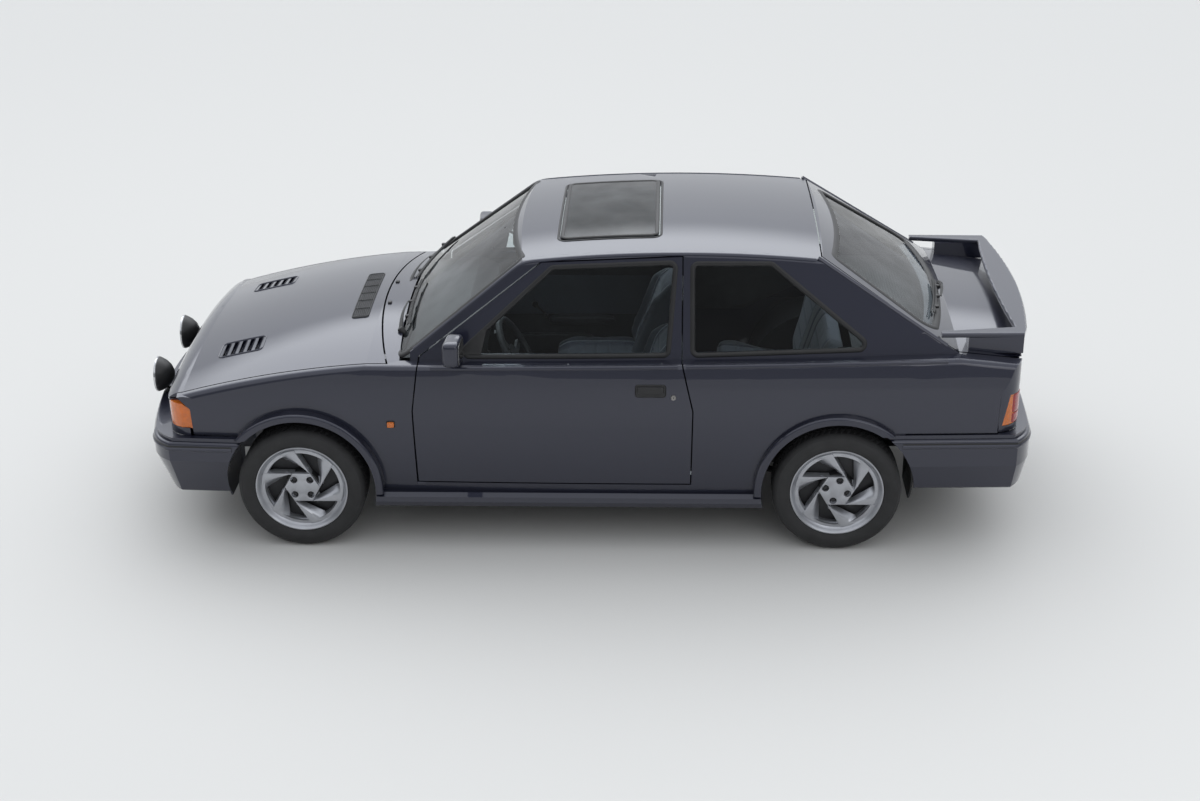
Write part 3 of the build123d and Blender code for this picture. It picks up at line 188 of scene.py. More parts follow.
def sweep_points(path, normals, profile, closed=False):
    """Points of a profile (across, out) carried along a path; out follows the normals given."""
    path, normals = np.asarray(path, float), np.asarray(normals, float)
    if closed:
        along = np.roll(path, -1, 0) - np.roll(path, 1, 0)
    else:
        along = np.gradient(path, axis=0)
    along /= np.linalg.norm(along, axis=1, keepdims=True)
    normals = normals - (normals * along).sum(1, keepdims=True) * along
    normals /= np.linalg.norm(normals, axis=1, keepdims=True)
    across = np.cross(along, normals)
    profile = np.asarray(profile, float)
    return path[:, None] + profile[None, :, :1] * across[:, None] + profile[None, :, 1:] * normals[:, None]


def sweep(name, path, normals, profile, closed=False, **finish):
    """A closed profile carried along a path, with flat ends unless the path is closed; one normal may serve all."""
    table = sweep_points(path, normals, profile, closed)
    rows, columns = table.shape[:2]
    faces = grid_faces(rows, columns, closed, True).tolist()
    if not closed:
        faces += [list(range(columns)), list(range((rows - 1) * columns, rows * columns))[::-1]]
    return put_mesh(name, table, faces, **finish)


def lathe_points(profile, steps, centre, side=1):
    """A profile (radius, out) turned about the axle through centre; out is towards the car's outside."""
    profile = np.asarray(profile, float)
    turn = np.linspace(0, 2 * np.pi, steps, endpoint=False)
    radius, out = profile[:, 0], profile[:, 1]
    x = centre[0] + np.cos(turn)[:, None] * radius
    y = centre[1] + side * np.broadcast_to(out, x.shape)
    z = centre[2] + np.sin(turn)[:, None] * radius
    return stacked(x, y, z)


def rounded(corners, radius, step=0.012):
    """Points round a closed polygon whose corners are rounded to a radius, spaced by about a step."""
    corners = np.asarray(corners, float)
    found = []
    for i, corner in enumerate(corners):
        before, after = corners[i - 1] - corner, corners[(i + 1) % len(corners)] - corner
        before, after = before / np.linalg.norm(before), after / np.linalg.norm(after)
        half = math.acos(np.clip(before @ after, -1, 1)) / 2
        cut = radius / math.tan(half)
        middle = corner + (before + after) / np.linalg.norm(before + after) * radius / math.sin(half)
        start, end = corner + before * cut, corner + after * cut
        share = np.linspace(0, 1, max(3, int(radius * (math.pi - 2 * half) / step * 2) + 2))[:, None]
        arc = start * (1 - share) + end * share - middle
        arc = middle + arc / np.linalg.norm(arc, axis=1, keepdims=True) * radius
        found.append(arc)
    ring = np.vstack(found)
    gaps = np.linalg.norm(np.roll(ring, -1, 0) - ring, axis=1)
    pieces = []
    for point, follow, gap in zip(ring, np.roll(ring, -1, 0), gaps):
        count = max(1, int(round(gap / step / 3)))
        share = np.arange(count)[:, None] / count
        pieces.append(point + (follow - point) * share)
    return np.vstack(pieces)


def bead(width, height, low=0.0, count=8):
    """A half-round profile of a width and height, standing on a base at low."""
    turn = np.linspace(0, np.pi, count)
    return stacked(np.cos(turn) * width / 2, low + np.sin(turn) * (height - low))


def soften_line(path, times=4):
    """Evens out a line by averaging each point with its neighbours."""
    for _ in range(times):
        path[1:-1] = (path[:-2] + 2 * path[1:-1] + path[2:]) / 4
    return path


def tube(radius, count=12):
    """A round profile."""
    turn = np.linspace(0, 2 * np.pi, count, endpoint=False)
    return stacked(np.cos(turn) * radius, np.sin(turn) * radius)


# %% [markdown]
# Camera, floor and light
#
# The photograph looks down on the car's left side. The camera's place and lens were worked out
# from the car's known lengths in it. The light is a plain soft sky, brighter high up and on the
# car's far side so that the paint has something to reflect, with two large weak lamps.

# %% Camera
EYE = Vector((-0.3920, 8.2643, 4.1506))
YAW, PITCH, ROLL = math.radians(2.343), math.radians(24.570), math.radians(-0.684)
ahead = Vector((math.sin(YAW) * math.cos(PITCH), -math.cos(YAW) * math.cos(PITCH), -math.sin(PITCH)))
right = ahead.cross(Vector((0, 0, 1))).normalized()
up = right.cross(ahead)
right, up = right * math.cos(ROLL) + up * math.sin(ROLL), up * math.cos(ROLL) - right * math.sin(ROLL)
FOCAL_PIXELS, PHOTO_PIXELS, SENSOR = 1876.87, 1200, 36
lens = bpy.data.cameras.new("camera")
lens.sensor_width = SENSOR
lens.lens = FOCAL_PIXELS / PHOTO_PIXELS * SENSOR
lens.clip_end = 200
camera = bpy.data.objects.new("camera", lens)
camera.matrix_world = Matrix((
    (right.x, up.x, -ahead.x, EYE.x), (right.y, up.y, -ahead.y, EYE.y),
    (right.z, up.z, -ahead.z, EYE.z), (0, 0, 0, 1)))
bpy.context.scene.collection.objects.link(camera)
bpy.context.scene.camera = camera
bpy.context.scene.view_settings.view_transform = "Standard"
print("camera lens", round(lens.lens, 2), "mm")


# %% Node helpers for materials
def new_material(name):
    """An empty node material and its Principled shader."""
    material = bpy.data.materials.new(name)
    material.use_nodes = True
    return material, material.node_tree.nodes["Principled BSDF"]


def add_node(material, kind, **values):
    """A node of a kind, its inputs and settings given by name."""
    node = material.node_tree.nodes.new(kind)
    for key, value in values.items():
        if key in node.inputs:
            node.inputs[key].default_value = value
        else:
            setattr(node, key, value)
    return node


def link(material, source, target):
    material.node_tree.links.new(source, target)


def pattern(material, kind="ShaderNodeTexNoise", scale=100.0, stretch=(1, 1, 1), **values):
    """A procedural texture on the piece's own Object coordinates."""
    place = add_node(material, "ShaderNodeTexCoord")
    mapping = add_node(material, "ShaderNodeMapping")
    mapping.inputs["Scale"].default_value = stretch
    link(material, place.outputs["Object"], mapping.inputs["Vector"])
    texture = add_node(material, kind, **values)
    texture.inputs["Scale"].default_value = scale
    link(material, mapping.outputs["Vector"], texture.inputs["Vector"])
    return texture


def ramp(material, source, low, high, start=0.35, end=0.65):
    """A colour ramp between two colours or greys, fed by a texture's value."""
    node = add_node(material, "ShaderNodeValToRGB")
    for element, place, colour in zip(node.color_ramp.elements, (start, end), (low, high)):
        element.position = place
        element.color = (*colour, 1) if hasattr(colour, "__len__") else (colour, colour, colour, 1)
    link(material, source, node.inputs["Fac"])
    return node.outputs["Color"]


def bump(material, shader, height, strength=0.2, distance=0.001, socket="Normal"):
    """Bump from a height, on a shader's normal."""
    node = add_node(material, "ShaderNodeBump", Strength=strength, Distance=distance)
    link(material, height, node.inputs["Height"])
    link(material, node.outputs["Normal"], shader.inputs[socket])


def clouded(name, low, high, start=0.35, end=0.65, **noise):
    """A material whose base colour drifts between two by a noise, with its shader."""
    material, shader = new_material(name)
    clouds = pattern(material, **noise)
    link(material, ramp(material, clouds.outputs["Fac"], low, high, start, end), shader.inputs["Base Color"])
    return material, shader


def shaded(colour, share):
    return tuple(c * share for c in colour)


def set_values(shader, **values):
    """Sets a shader's inputs by name, with an underscore for each space."""
    for key, value in values.items():
        if hasattr(value, "__len__") and len(value) == 3:
            value = (*value, 1)
        shader.inputs[key.replace("_", " ")].default_value = value


# %% Floor, sky and lamps
floor_material, floor_shader = new_material("pale_floor")
set_values(floor_shader, Base_Color=(0.62, 0.615, 0.60), Roughness=0.9)
REACH = 150.0
floor = put_grid("floor", [[(x, y, 0) for x in (-REACH, REACH)] for y in (-REACH, REACH)])
floor.data.materials.append(floor_material)

world = bpy.data.worlds.new("soft_sky")
bpy.context.scene.world = world
world.use_nodes = True
sky = world.node_tree.nodes["Background"]
sky.inputs["Color"].default_value = (0.93, 0.96, 1.0, 1)
direction = add_node(world, "ShaderNodeTexCoord")
split = add_node(world, "ShaderNodeSeparateXYZ")
both = add_node(world, "ShaderNodeMath", operation="MULTIPLY")
link(world, direction.outputs["Generated"], split.inputs["Vector"])
for number, (axis, *ends) in enumerate((("Z", 0.40, 0.50, 0.40, 1.34), ("Y", -0.90, 0.10, 2.20, 0.75))):
    part = add_node(world, "ShaderNodeMapRange", interpolation_type="SMOOTHSTEP",
                    **dict(zip(("From Min", "From Max", "To Min", "To Max"), ends)))
    link(world, split.outputs[axis], part.inputs["Value"])
    link(world, part.outputs["Result"], both.inputs[number])
link(world, both.outputs["Value"], sky.inputs["Strength"])


def soft_lamp(name, place, aim, size, power, height=None):
    """A large lamp at a place, facing a point."""
    light = bpy.data.lights.new(name, "AREA")
    light.shape = "RECTANGLE"
    light.size, light.size_y = size, height or size
    light.energy = power
    lamp = bpy.data.objects.new(name, light)
    lamp.location = place
    lamp.rotation_euler = (Vector(aim) - Vector(place)).to_track_quat("-Z", "Y").to_euler()
    bpy.context.scene.collection.objects.link(lamp)


soft_lamp("lamp_over", (1.5, -2.5, 7.5), (0, 0, 0.5), 6.0, 60)
soft_lamp("lamp_side", (-4.5, 7.5, 4.5), (0, 0, 0.5), 4.0, 60)


# %% [markdown]
# The paint
#
# The body is dark blue-grey metallic paint under clear lacquer. A metallic paint darkens at its
# edges and sparkles a little, so the base is half metallic with a fine noise in its colour, and
# the lacquer is the shader's own coat with almost no roughness. Bumpers and skirts have the
# same paint. A very weak large bump breaks the reflections as rolled steel does.

# %% Paint
def paint_material(name, colour, flake=0.14):
    low, high = shaded(colour, 1 - flake), shaded(colour, 1 + flake)
    material, shader = clouded(name, low, high, 0.3, 0.7, scale=1600.0, Detail=2.0)
    set_values(shader, Metallic=0.55, Roughness=0.36, Coat_Weight=1.0, Coat_Roughness=0.02, Coat_IOR=1.5)
    waves = pattern(material, scale=3.0, Detail=1.0)
    bump(material, shader, waves.outputs["Fac"], 0.05, 0.002, "Coat Normal")
    return material


paint = paint_material("blue_grey_metallic", (0.016, 0.018, 0.036))
inner_paint = paint_material("inner_paint", (0.022, 0.025, 0.040))


# %% [markdown]
# Plastics, rubber and metals
#
# Grained black plastic is a fine cellular bump; rubber is duller and smoother; cast alloy is
# lacquered silver with a faint cloud in its colour; the underside is a satin coating with a
# coarse grain. Each differs in scale as the real ones do.

# %% Plastic, rubber and metal
def grained(name, colour, roughness, scale=900.0, strength=0.25, metallic=0.0, spread=0.15):
    """A moulded or cast surface: a cellular bump with a slight change of colour."""
    low, high = shaded(colour, 1 - spread), shaded(colour, 1 + spread)
    material, shader = clouded(name, low, high, scale=scale * 0.03, Detail=4.0)
    grain = pattern(material, "ShaderNodeTexVoronoi", scale=scale)
    bump(material, shader, grain.outputs[0], strength, 0.0004)
    set_values(shader, Roughness=roughness, Metallic=metallic)
    return material


black_plastic = grained("black_grained_plastic", (0.016, 0.016, 0.017), 0.42)
dash_plastic = grained("dash_plastic", (0.030, 0.031, 0.034), 0.55, 700.0, 0.12)
rubber = grained("window_rubber", (0.010, 0.010, 0.011), 0.45, 400.0, 0.1)
tyre_rubber = grained("tyre_rubber", (0.020, 0.020, 0.021), 0.72, 500.0, 0.15)
under_coat = grained("underside_coating", (0.020, 0.021, 0.023), 0.6, 260.0, 0.5)
cast_iron = grained("cast_iron", (0.11, 0.11, 0.115), 0.55, 500.0, 0.4, metallic=0.8)
steel = grained("dull_steel", (0.30, 0.29, 0.28), 0.42, 300.0, 0.15, metallic=0.9)
bright_steel = grained("bright_steel", (0.72, 0.73, 0.75), 0.16, 300.0, 0.05, metallic=1.0)
alloy = grained("silver_lacquered_alloy", (0.42, 0.43, 0.46), 0.32, 700.0, 0.06, metallic=0.72, spread=0.06)
dark_alloy = grained("brake_and_hub", (0.045, 0.045, 0.048), 0.5, 300.0, 0.2, metallic=0.7)
plate_white = grained("plate_white", (0.62, 0.62, 0.60), 0.35, 300.0, 0.05)
dial_face = grained("dial_face", (0.012, 0.012, 0.013), 0.35, 900.0, 0.05)
dial_ink = grained("dial_ink", (0.70, 0.70, 0.68), 0.5, 900.0, 0.02)


def silvered(name, low, high, roughness, scale):
    """A mirror: bright metal with faint smudges."""
    material, shader = clouded(name, low, high, scale=scale)
    set_values(shader, Metallic=1.0, Roughness=roughness)
    return material


mirror_metal = silvered("reflector_metal", 0.74, 0.82, 0.10, 30.0)
mirror_glass = silvered("mirror_glass", 0.60, 0.66, 0.03, 12.0)


# %% [markdown]
# Glass and lenses
#
# Window glass is thin, so it is a mostly clear mix: a transparent shader with a faint green
# grey, and a glossy layer whose share follows the Fresnel curve on the faces that look out.
# Lamp lenses are coloured plastic with fine ribs, which come from a wave texture's bump.

# %% Glass and lenses
def glass_material(name, tint, gloss=1.45):
    """Thin glass: transparent in a tint, glossy by Fresnel on the faces that look outwards."""
    material, shader = new_material(name)
    tree = material.node_tree
    tree.nodes.remove(shader)
    clear = add_node(material, "ShaderNodeBsdfTransparent", Color=(*tint, 1))
    shine = add_node(material, "ShaderNodeBsdfGlossy", Roughness=0.012)
    dust = pattern(material, scale=6.0, Detail=5.0)
    link(material, ramp(material, dust.outputs["Fac"], 0.78, 0.98), shine.inputs["Color"])
    share = add_node(material, "ShaderNodeFresnel", IOR=gloss)
    mixed = add_node(material, "ShaderNodeMixShader")
    facing = add_node(material, "ShaderNodeNewGeometry")
    front = add_node(material, "ShaderNodeMath", operation="SUBTRACT")
    front.inputs[0].default_value = 1.0
    link(material, facing.outputs["Backfacing"], front.inputs[1])
    outer = add_node(material, "ShaderNodeMath", operation="MULTIPLY")
    link(material, share.outputs["Fac"], outer.inputs[0])
    link(material, front.outputs["Value"], outer.inputs[1])
    link(material, outer.outputs["Value"], mixed.inputs["Fac"])
    link(material, clear.outputs["BSDF"], mixed.inputs[1])
    link(material, shine.outputs["BSDF"], mixed.inputs[2])
    link(material, mixed.outputs["Shader"], tree.nodes["Material Output"].inputs["Surface"])
    return material


def lens_material(name, colour, transmission=0.35, ribs=330.0, depth=0.35, roughness=0.08):
    """A moulded lens: coloured, partly see-through, ribbed by a wave."""
    material, shader = clouded(name, shaded(colour, 0.85), colour, scale=40.0)
    wave = pattern(material, "ShaderNodeTexWave", scale=ribs / 20, bands_direction="Z")
    bump(material, shader, wave.outputs["Fac"], depth, 0.001)
    set_values(shader, Roughness=roughness, Transmission_Weight=transmission, IOR=1.49, Coat_Weight=0.6)
    return material


window_glass = glass_material("window_glass", (0.84, 0.87, 0.875))
roof_glass = glass_material("dark_roof_glass", (0.10, 0.12, 0.13), 1.6)
amber = lens_material("amber_lens", (0.90, 0.22, 0.02))
red = lens_material("red_lens", (0.42, 0.012, 0.015))
clear_lens = lens_material("clear_lens", (0.82, 0.85, 0.88), 0.75)
lamp_lens = lens_material("driving_lamp_lens", (0.75, 0.79, 0.84), 0.45, 700.0, 0.5)


# %% Fabric
def cloth_material(name, colour, thread, scale=1100.0, strength=0.6):
    """Woven cloth: two crossed waves for the threads and a noise for the yarn's colour."""
    material, shader = clouded(name, colour, thread, 0.3, 0.7, scale=260.0, Detail=6.0)
    warp = pattern(material, "ShaderNodeTexWave", scale=scale / 20, bands_direction="X")
    weft = pattern(material, "ShaderNodeTexWave", scale=scale / 20, bands_direction="Z")
    both = add_node(material, "ShaderNodeMath", operation="MAXIMUM")
    link(material, warp.outputs["Fac"], both.inputs[0])
    link(material, weft.outputs["Fac"], both.inputs[1])
    bump(material, shader, both.outputs["Value"], strength, 0.0005)
    set_values(shader, Roughness=0.92, Sheen_Weight=0.35, Sheen_Roughness=0.5)
    return material


seat_cloth = cloth_material("blue_grey_seat_cloth", (0.085, 0.097, 0.125), (0.135, 0.15, 0.185))
dark_cloth = cloth_material("dark_bolster_cloth", (0.045, 0.051, 0.064), (0.075, 0.084, 0.102))
piping_cloth = cloth_material("light_piping", (0.26, 0.28, 0.32), (0.36, 0.38, 0.42), 2200.0, 0.3)
belt_webbing = cloth_material("belt_webbing", (0.018, 0.018, 0.020), (0.032, 0.032, 0.035), 900.0, 0.5)
carpet = cloth_material("black_carpet", (0.020, 0.021, 0.024), (0.040, 0.041, 0.046), 500.0, 1.0)
headlining = cloth_material("grey_headlining", (0.28, 0.29, 0.30), (0.34, 0.35, 0.36), 700.0, 0.4)

# %% [markdown]
# Finish for the CAD's own pieces
#
# The body panels, glass, bumpers and running gear keep their CAD shape, so they only get a
# material. What differs on a panel's inside is a separate trim piece. The two bowed screens
# also get the normals of their own formulas, which takes the facets out of their reflections.

# %% Give the CAD nodes their materials
def read_rows(items, what):
    """A three-number attribute of every vertex or face, as a table."""
    table = np.empty(len(items) * 3)
    items.foreach_get(what, table)
    return table.reshape(-1, 3)


PLACES = ("front_left", "front_right", "rear_left", "rear_right")
FINISH = (
    (paint, "side_frame_left side_frame_right roof bonnet wing_left wing_right scuttle door_left door_right tailgate"),
    (paint, "front_bumper rear_bumper skirts spoiler front_panel mirror_left mirror_right"),
    (window_glass, "windscreen door_glass_left door_glass_right quarter_glass_left quarter_glass_right tailgate_glass"),
    (roof_glass, "sunroof"),
    (clear_lens, "headlamps"),
    (amber, "indicators rear_lamps"),
    (black_plastic, "grille driving_lamps wipers"),
    (dash_plastic, "dashboard steering_wheel"),
    (seat_cloth, "seat_left seat_right rear_seat"),
    (carpet, "parcel_shelf"),
    (inner_paint, "engine_bay_frame"),
    (under_coat, "floor_pan fuel_tank front_suspension rear_suspension"),
    (steel, "exhaust"),
    (cast_iron, "engine knuckle_left knuckle_right"),
    (alloy, " ".join("wheel_" + place for place in PLACES)),
    (tyre_rubber, " ".join("tyre_" + place for place in PLACES)),
)
finished = 0
for material, names in FINISH:
    for name in names.split():
        nodes[name].data.materials.clear()
        nodes[name].data.materials.append(material)
        finished += 1
print("finished", finished, "of", len(nodes), "nodes")


def smooth_pane(pane, surface, step=1e-4):
    """Gives a bowed pane the normals of its own surface x(y, z), so that it reflects without facets."""
    mesh = pane.data
    _, y, z = read_rows(mesh.vertices, "co").T
    slope_y = (surface(y + step, z) - surface(y - step, z)) / (2 * step)
    slope_z = (surface(y, z + step) - surface(y, z - step)) / (2 * step)
    smooth = stacked(1.0, -slope_y, -slope_z)
    smooth /= np.linalg.norm(smooth, axis=1, keepdims=True)
    along = (smooth * read_rows(mesh.vertex_normals, "vector")).sum(axis=1)
    for face in mesh.polygons:
        face.use_smooth = True
    mesh.normals_split_custom_set_from_vertices(smooth * np.where(along < 0, -1.0, 1.0)[:, None])


smooth_pane(nodes["windscreen"], screen_x)
smooth_pane(nodes["tailgate_glass"], hatch_x)


def place_piece(piece, material, body="body", replaces=()):
    """Gives a new piece its material and body, and hides the nodes it stands for."""
    if material is not None:
        piece.data.materials.clear()
        piece.data.materials.append(material)
    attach(piece, body)
    if replaces:
        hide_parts(*replaces)
    return piece


# %% [markdown]
# Tyres
#
# A low road tyre is a rounded sidewall, a flat tread and a shoulder between them. The profile
# is a curve through the bead, the widest point and the shoulder. The tread's three long grooves
# and its slanted cross grooves are dips in the radius, a function of the place across and the
# angle round, so the whole tyre is one grid.

# %% Tyres
TYRE_RADIUS, TRACK_Y = 0.288, 0.715
HALF_TREAD, TREAD_DEPTH, GROOVE_PLACES, CROSS_GROOVES = 0.066, 0.006, (-0.026, 0.0, 0.026), 64
wheel_places = dict(zip(PLACES, ((FRONT_X, 1), (FRONT_X, -1), (REAR_X, 1), (REAR_X, -1))))


def tyre_profile():
    """(radius, out) from the inner bead over the tread to the outer bead."""
    side = np.array([(0.2045, 0.0735), (0.2085, 0.0775), (0.2095, 0.0840), (0.2125, 0.0885), (0.2165, 0.0900),
                     (0.2215, 0.0925), (0.2300, 0.0958), (0.2400, 0.0973), (0.2500, 0.0965), (0.2600, 0.0940),
                     (0.2660, 0.0915), (0.2690, 0.0915), (0.2730, 0.0880), (0.2780, 0.0830), (0.2830, 0.0760),
                     (0.2860, 0.0690)])
    out = np.linspace(HALF_TREAD, -HALF_TREAD, 56)
    tread = stacked(TYRE_RADIUS - 0.0010 * (out / HALF_TREAD) ** 2 - 0.0002, out)
    inner = side[::-1] * (1, -1)
    hole = np.array([(0.1950, -0.0720), (0.1935, -0.0400), (0.1935, 0.0400), (0.1950, 0.0720)])
    return np.vstack([side, tread, inner, hole]), len(side), len(tread)


def tread_dip(out, turn):
    """Depth of the tread: three long grooves and slanted cross grooves that bend at the middle one."""
    long_grooves = sum(np.exp(-((out - at) / 0.0034) ** 4) for at in GROOVE_PLACES)
    slant = (turn / (2 * np.pi) * CROSS_GROOVES + np.abs(out) * 18 + np.where(out > 0, 0.5, 0)) % 1
    cross = (np.abs(slant - 0.5) > 0.43) * (np.abs(out) > 0.008)
    return TREAD_DEPTH * np.clip(long_grooves + 0.75 * cross, 0, 1)


profile, before_tread, tread_count = tyre_profile()
STEPS = 320
for place, (x, side) in wheel_places.items():
    table = lathe_points(profile, STEPS, (0, 0, 0), side)
    turn = np.linspace(0, 2 * np.pi, STEPS, endpoint=False)[:, None]
    columns = slice(before_tread, before_tread + tread_count)
    dip = tread_dip(profile[columns, 1][None, :], turn)
    ribs = 1 - dip / profile[columns, 0][None, :]
    table[:, columns, 0] *= ribs
    table[:, columns, 2] *= ribs
    table += (x, side * TRACK_Y, TYRE_RADIUS)
    tyre = put_grid("tyre_tread_" + place, table, True, True, sharp=0.6)
    place_piece(tyre, tyre_rubber, "wheel_" + place, replaces=["tyre_" + place])
print("tyre triangles", len(tyre.data.polygons) * 2)

# %% [markdown]
# Wheels
#
# The casting is a flat hexagon whose six sides run on as straight edges to the rim, like a
# pinwheel. Between two edges the metal falls away in a scoop and opens in a window. One sector
# is a fan of lines from a corner of the hexagon to the rim: across it the height is flat, then
# a smooth fall, then the window. Six turned copies make the wheel, and the rim is a lathe.

# %% Wheel casting
HEX_RADIUS, DISC_RADIUS = 0.079, 0.187
FACE_OUT, WINDOW_DEPTH, CASTING_WALL, CASTING_EDGE = 0.066, 0.040, 0.016, 0.0012
WINDOW_ACROSS, WINDOW_ALONG = (0.47, 0.96), (0.17, 0.88)
NUT_RADIUS, NUT_OUT = 0.0095, (0.045, 0.0585)
LUG_RADIUS, LUG_CIRCLE = 0.0165, 0.0515


def smooth_step(t):
    t = np.clip(t, 0, 1)
    return t * t * (3 - 2 * t)


def hexagon(corner):
    """A corner of the hub's hexagon, or several."""
    turn = np.radians(60 * np.asarray(corner))
    return HEX_RADIUS * stacked(np.cos(turn), np.sin(turn))


def lug_centre(number):
    angle = math.radians(45 + 90 * number)
    return LUG_CIRCLE * np.array([math.cos(angle), math.sin(angle)])


def sector(corner, across=30, along=26):
    """One sector as (x, z, height) and the mask of its window: lines fan out from a hexagon corner to the rim."""
    apex = hexagon(corner)

    def on_rim(index):
        start, end = hexagon(index - 1), hexagon(index)
        way = (end - start) / np.linalg.norm(end - start)
        back = start @ way
        reach = -back + math.sqrt(back ** 2 - start @ start + DISC_RADIUS ** 2)
        point = start + way * reach
        return math.atan2(point[1], point[0])
    first, last = on_rim(corner), on_rim(corner + 1)
    last += 2 * np.pi if last < first else 0
    u = np.concatenate([np.linspace(0, 0.30, 5)[:-1], np.linspace(0.30, 0.60, 12)[:-1],
                        np.linspace(0.60, 0.965, across - 16), [1.0]])
    v = np.concatenate([[0.0], np.linspace(0.12, 0.86, along - 8), np.linspace(0.88, 1.0, 7)])
    around = first + (last - first) * u
    rim = stacked(np.cos(around), np.sin(around)) * DISC_RADIUS
    flat = apex + v[:, None, None] * (rim[None] - apex)
    near_rim = smooth_step((v - 0.80) / 0.15)[:, None]
    fall_across = smooth_step((u - 0.20) / 0.42)[None, :]
    opened = smooth_step(v / 0.22)[:, None]
    edge = smooth_step((u - 0.965) / 0.03)[None, :]
    height = FACE_OUT - WINDOW_DEPTH * fall_across * (1 - 0.8 * near_rim) * opened * (1 - edge)
    height = np.where(v[:, None] > 0.999, FACE_OUT - 0.012, height)
    mask = (u[:-1] > WINDOW_ACROSS[0]) & (u[:-1] < WINDOW_ACROSS[1])
    mask = mask[None, :] & ((v[:-1] > WINDOW_ALONG[0]) & (v[:-1] < WINDOW_ALONG[1]))[:, None]
    return np.dstack([flat, height]), mask


def wheel_face():
    """Points and triangles of the whole face: six sectors round a hexagon with four holes, joined edge to edge."""
    flat, height, faces, start = [], [], [], 0
    for corner in range(6):
        table, mask = sector(corner)
        rows, columns = table.shape[:2]
        flat.append(table[..., :2].reshape(-1, 2))
        height.append(table[..., 2].reshape(-1))
        faces += (grid_faces(rows, columns)[~mask.reshape(-1), ::-1] + start).tolist()
        start += rows * columns
    flat.append(hexagon(np.arange(6)))
    height.append(np.full(6, FACE_OUT))
    faces.append(list(range(start, start + 6)))
    start += 6
    first_hole = len(faces)
    for number in range(4):
        flat.append(lug_centre(number) + tube(LUG_RADIUS, 32))
        height.append(np.full(32, FACE_OUT))
        faces.append(list(range(start, start + 32)))
        start += 32
    flat, height = np.vstack(flat), np.concatenate(height)
    joined, _, triangles, from_points, _, from_faces = delaunay_2d_cdt(
        [Vector(p) for p in flat.tolist()], [], faces, 0, 1e-6)
    keep = [list(t) for t, source in zip(triangles, from_faces) if source and max(source) < first_hole]
    out = [height[source[0]] if source else FACE_OUT for source in from_points]
    return np.column_stack([np.array([tuple(p) for p in joined]), out]), keep


def vertex_table(mesh):
    return read_rows(mesh.vertices, "co")


def apply_modifiers(piece):
    """Turns a piece's modifiers into its own mesh."""
    shown = piece.evaluated_get(bpy.context.evaluated_depsgraph_get())
    mesh = bpy.data.meshes.new_from_object(shown)
    old = piece.data
    piece.modifiers.clear()
    piece.data = mesh
    bpy.data.meshes.remove(old)
    return piece


def remove_piece(piece):
    mesh = piece.data
    bpy.data.objects.remove(piece)
    bpy.data.meshes.remove(mesh)


face_points, face_list = wheel_face()
flat = face_points[:, [0, 2, 1]]
casting = put_mesh("casting", flat, face_list, sharp=0.5)
if sum(face.normal.y for face in casting.data.polygons) < 0:
    casting.data.flip_normals()
wall = casting.modifiers.new("wall", "SOLIDIFY")
wall.thickness = CASTING_WALL
wall.offset = -1
edge = casting.modifiers.new("edge", "BEVEL")
edge.width, edge.segments, edge.limit_method, edge.angle_limit = CASTING_EDGE, 2, "ANGLE", math.radians(40)
apply_modifiers(casting)
casting.data.shade_smooth()
casting.data.set_sharp_from_angle(angle=0.5)
print("casting triangles", sum(len(p.vertices) - 2 for p in casting.data.polygons))

# %% Rim, hub and the four wheels
rim_profile = [(0.1700, 0.0640), (0.1840, 0.0625), (0.1885, 0.0655), (0.1930, 0.0730), (0.1985, 0.0815),
               (0.2035, 0.0855), (0.2080, 0.0845), (0.2085, 0.0815), (0.2060, 0.0780), (0.1935, 0.0740),
               (0.1905, 0.0500), (0.1800, 0.0300), (0.1800, -0.0200), (0.1905, -0.0560), (0.1935, -0.0720),
               (0.2060, -0.0780), (0.2085, -0.0830), (0.2035, -0.0855), (0.1880, -0.0800),
               (0.1830, -0.0620), (0.1700, -0.0200), (0.1700, 0.0300)]
hub_profile = [(0.0242, 0.0100), (0.0242, 0.0504), (0.0760, 0.0504), (0.0800, 0.0100)]
disc_profile = [(0.0242, 0.0000), (0.1300, 0.0000), (0.1310, 0.0120), (0.1700, 0.0120), (0.1700, 0.0150),
                (0.1300, 0.0150), (0.0242, 0.0150)]
TURNED_PARTS = (("wheel_rim_", rim_profile, 128, alloy), ("wheel_hub_", hub_profile, 64, dark_alloy),
                ("brake_disc_", disc_profile, 96, dark_alloy))
SPIN = dict(zip(PLACES, (0, 25, 60, 80)))


def nut_mesh():
    """Four hexagonal nuts, each a small prism at the bottom of its cup."""
    points, faces = [], []
    for number in range(4):
        ring, start = lug_centre(number) + tube(NUT_RADIUS, 6), 12 * number
        points += [stacked(ring[:, 0], out, ring[:, 1]) for out in NUT_OUT]
        faces += [[start + i, start + (i + 1) % 6, start + 6 + (i + 1) % 6, start + 6 + i] for i in range(6)]
        faces += [[start + i for i in range(6)], [start + 6 + i for i in range(6)]]
    return np.vstack(points), faces


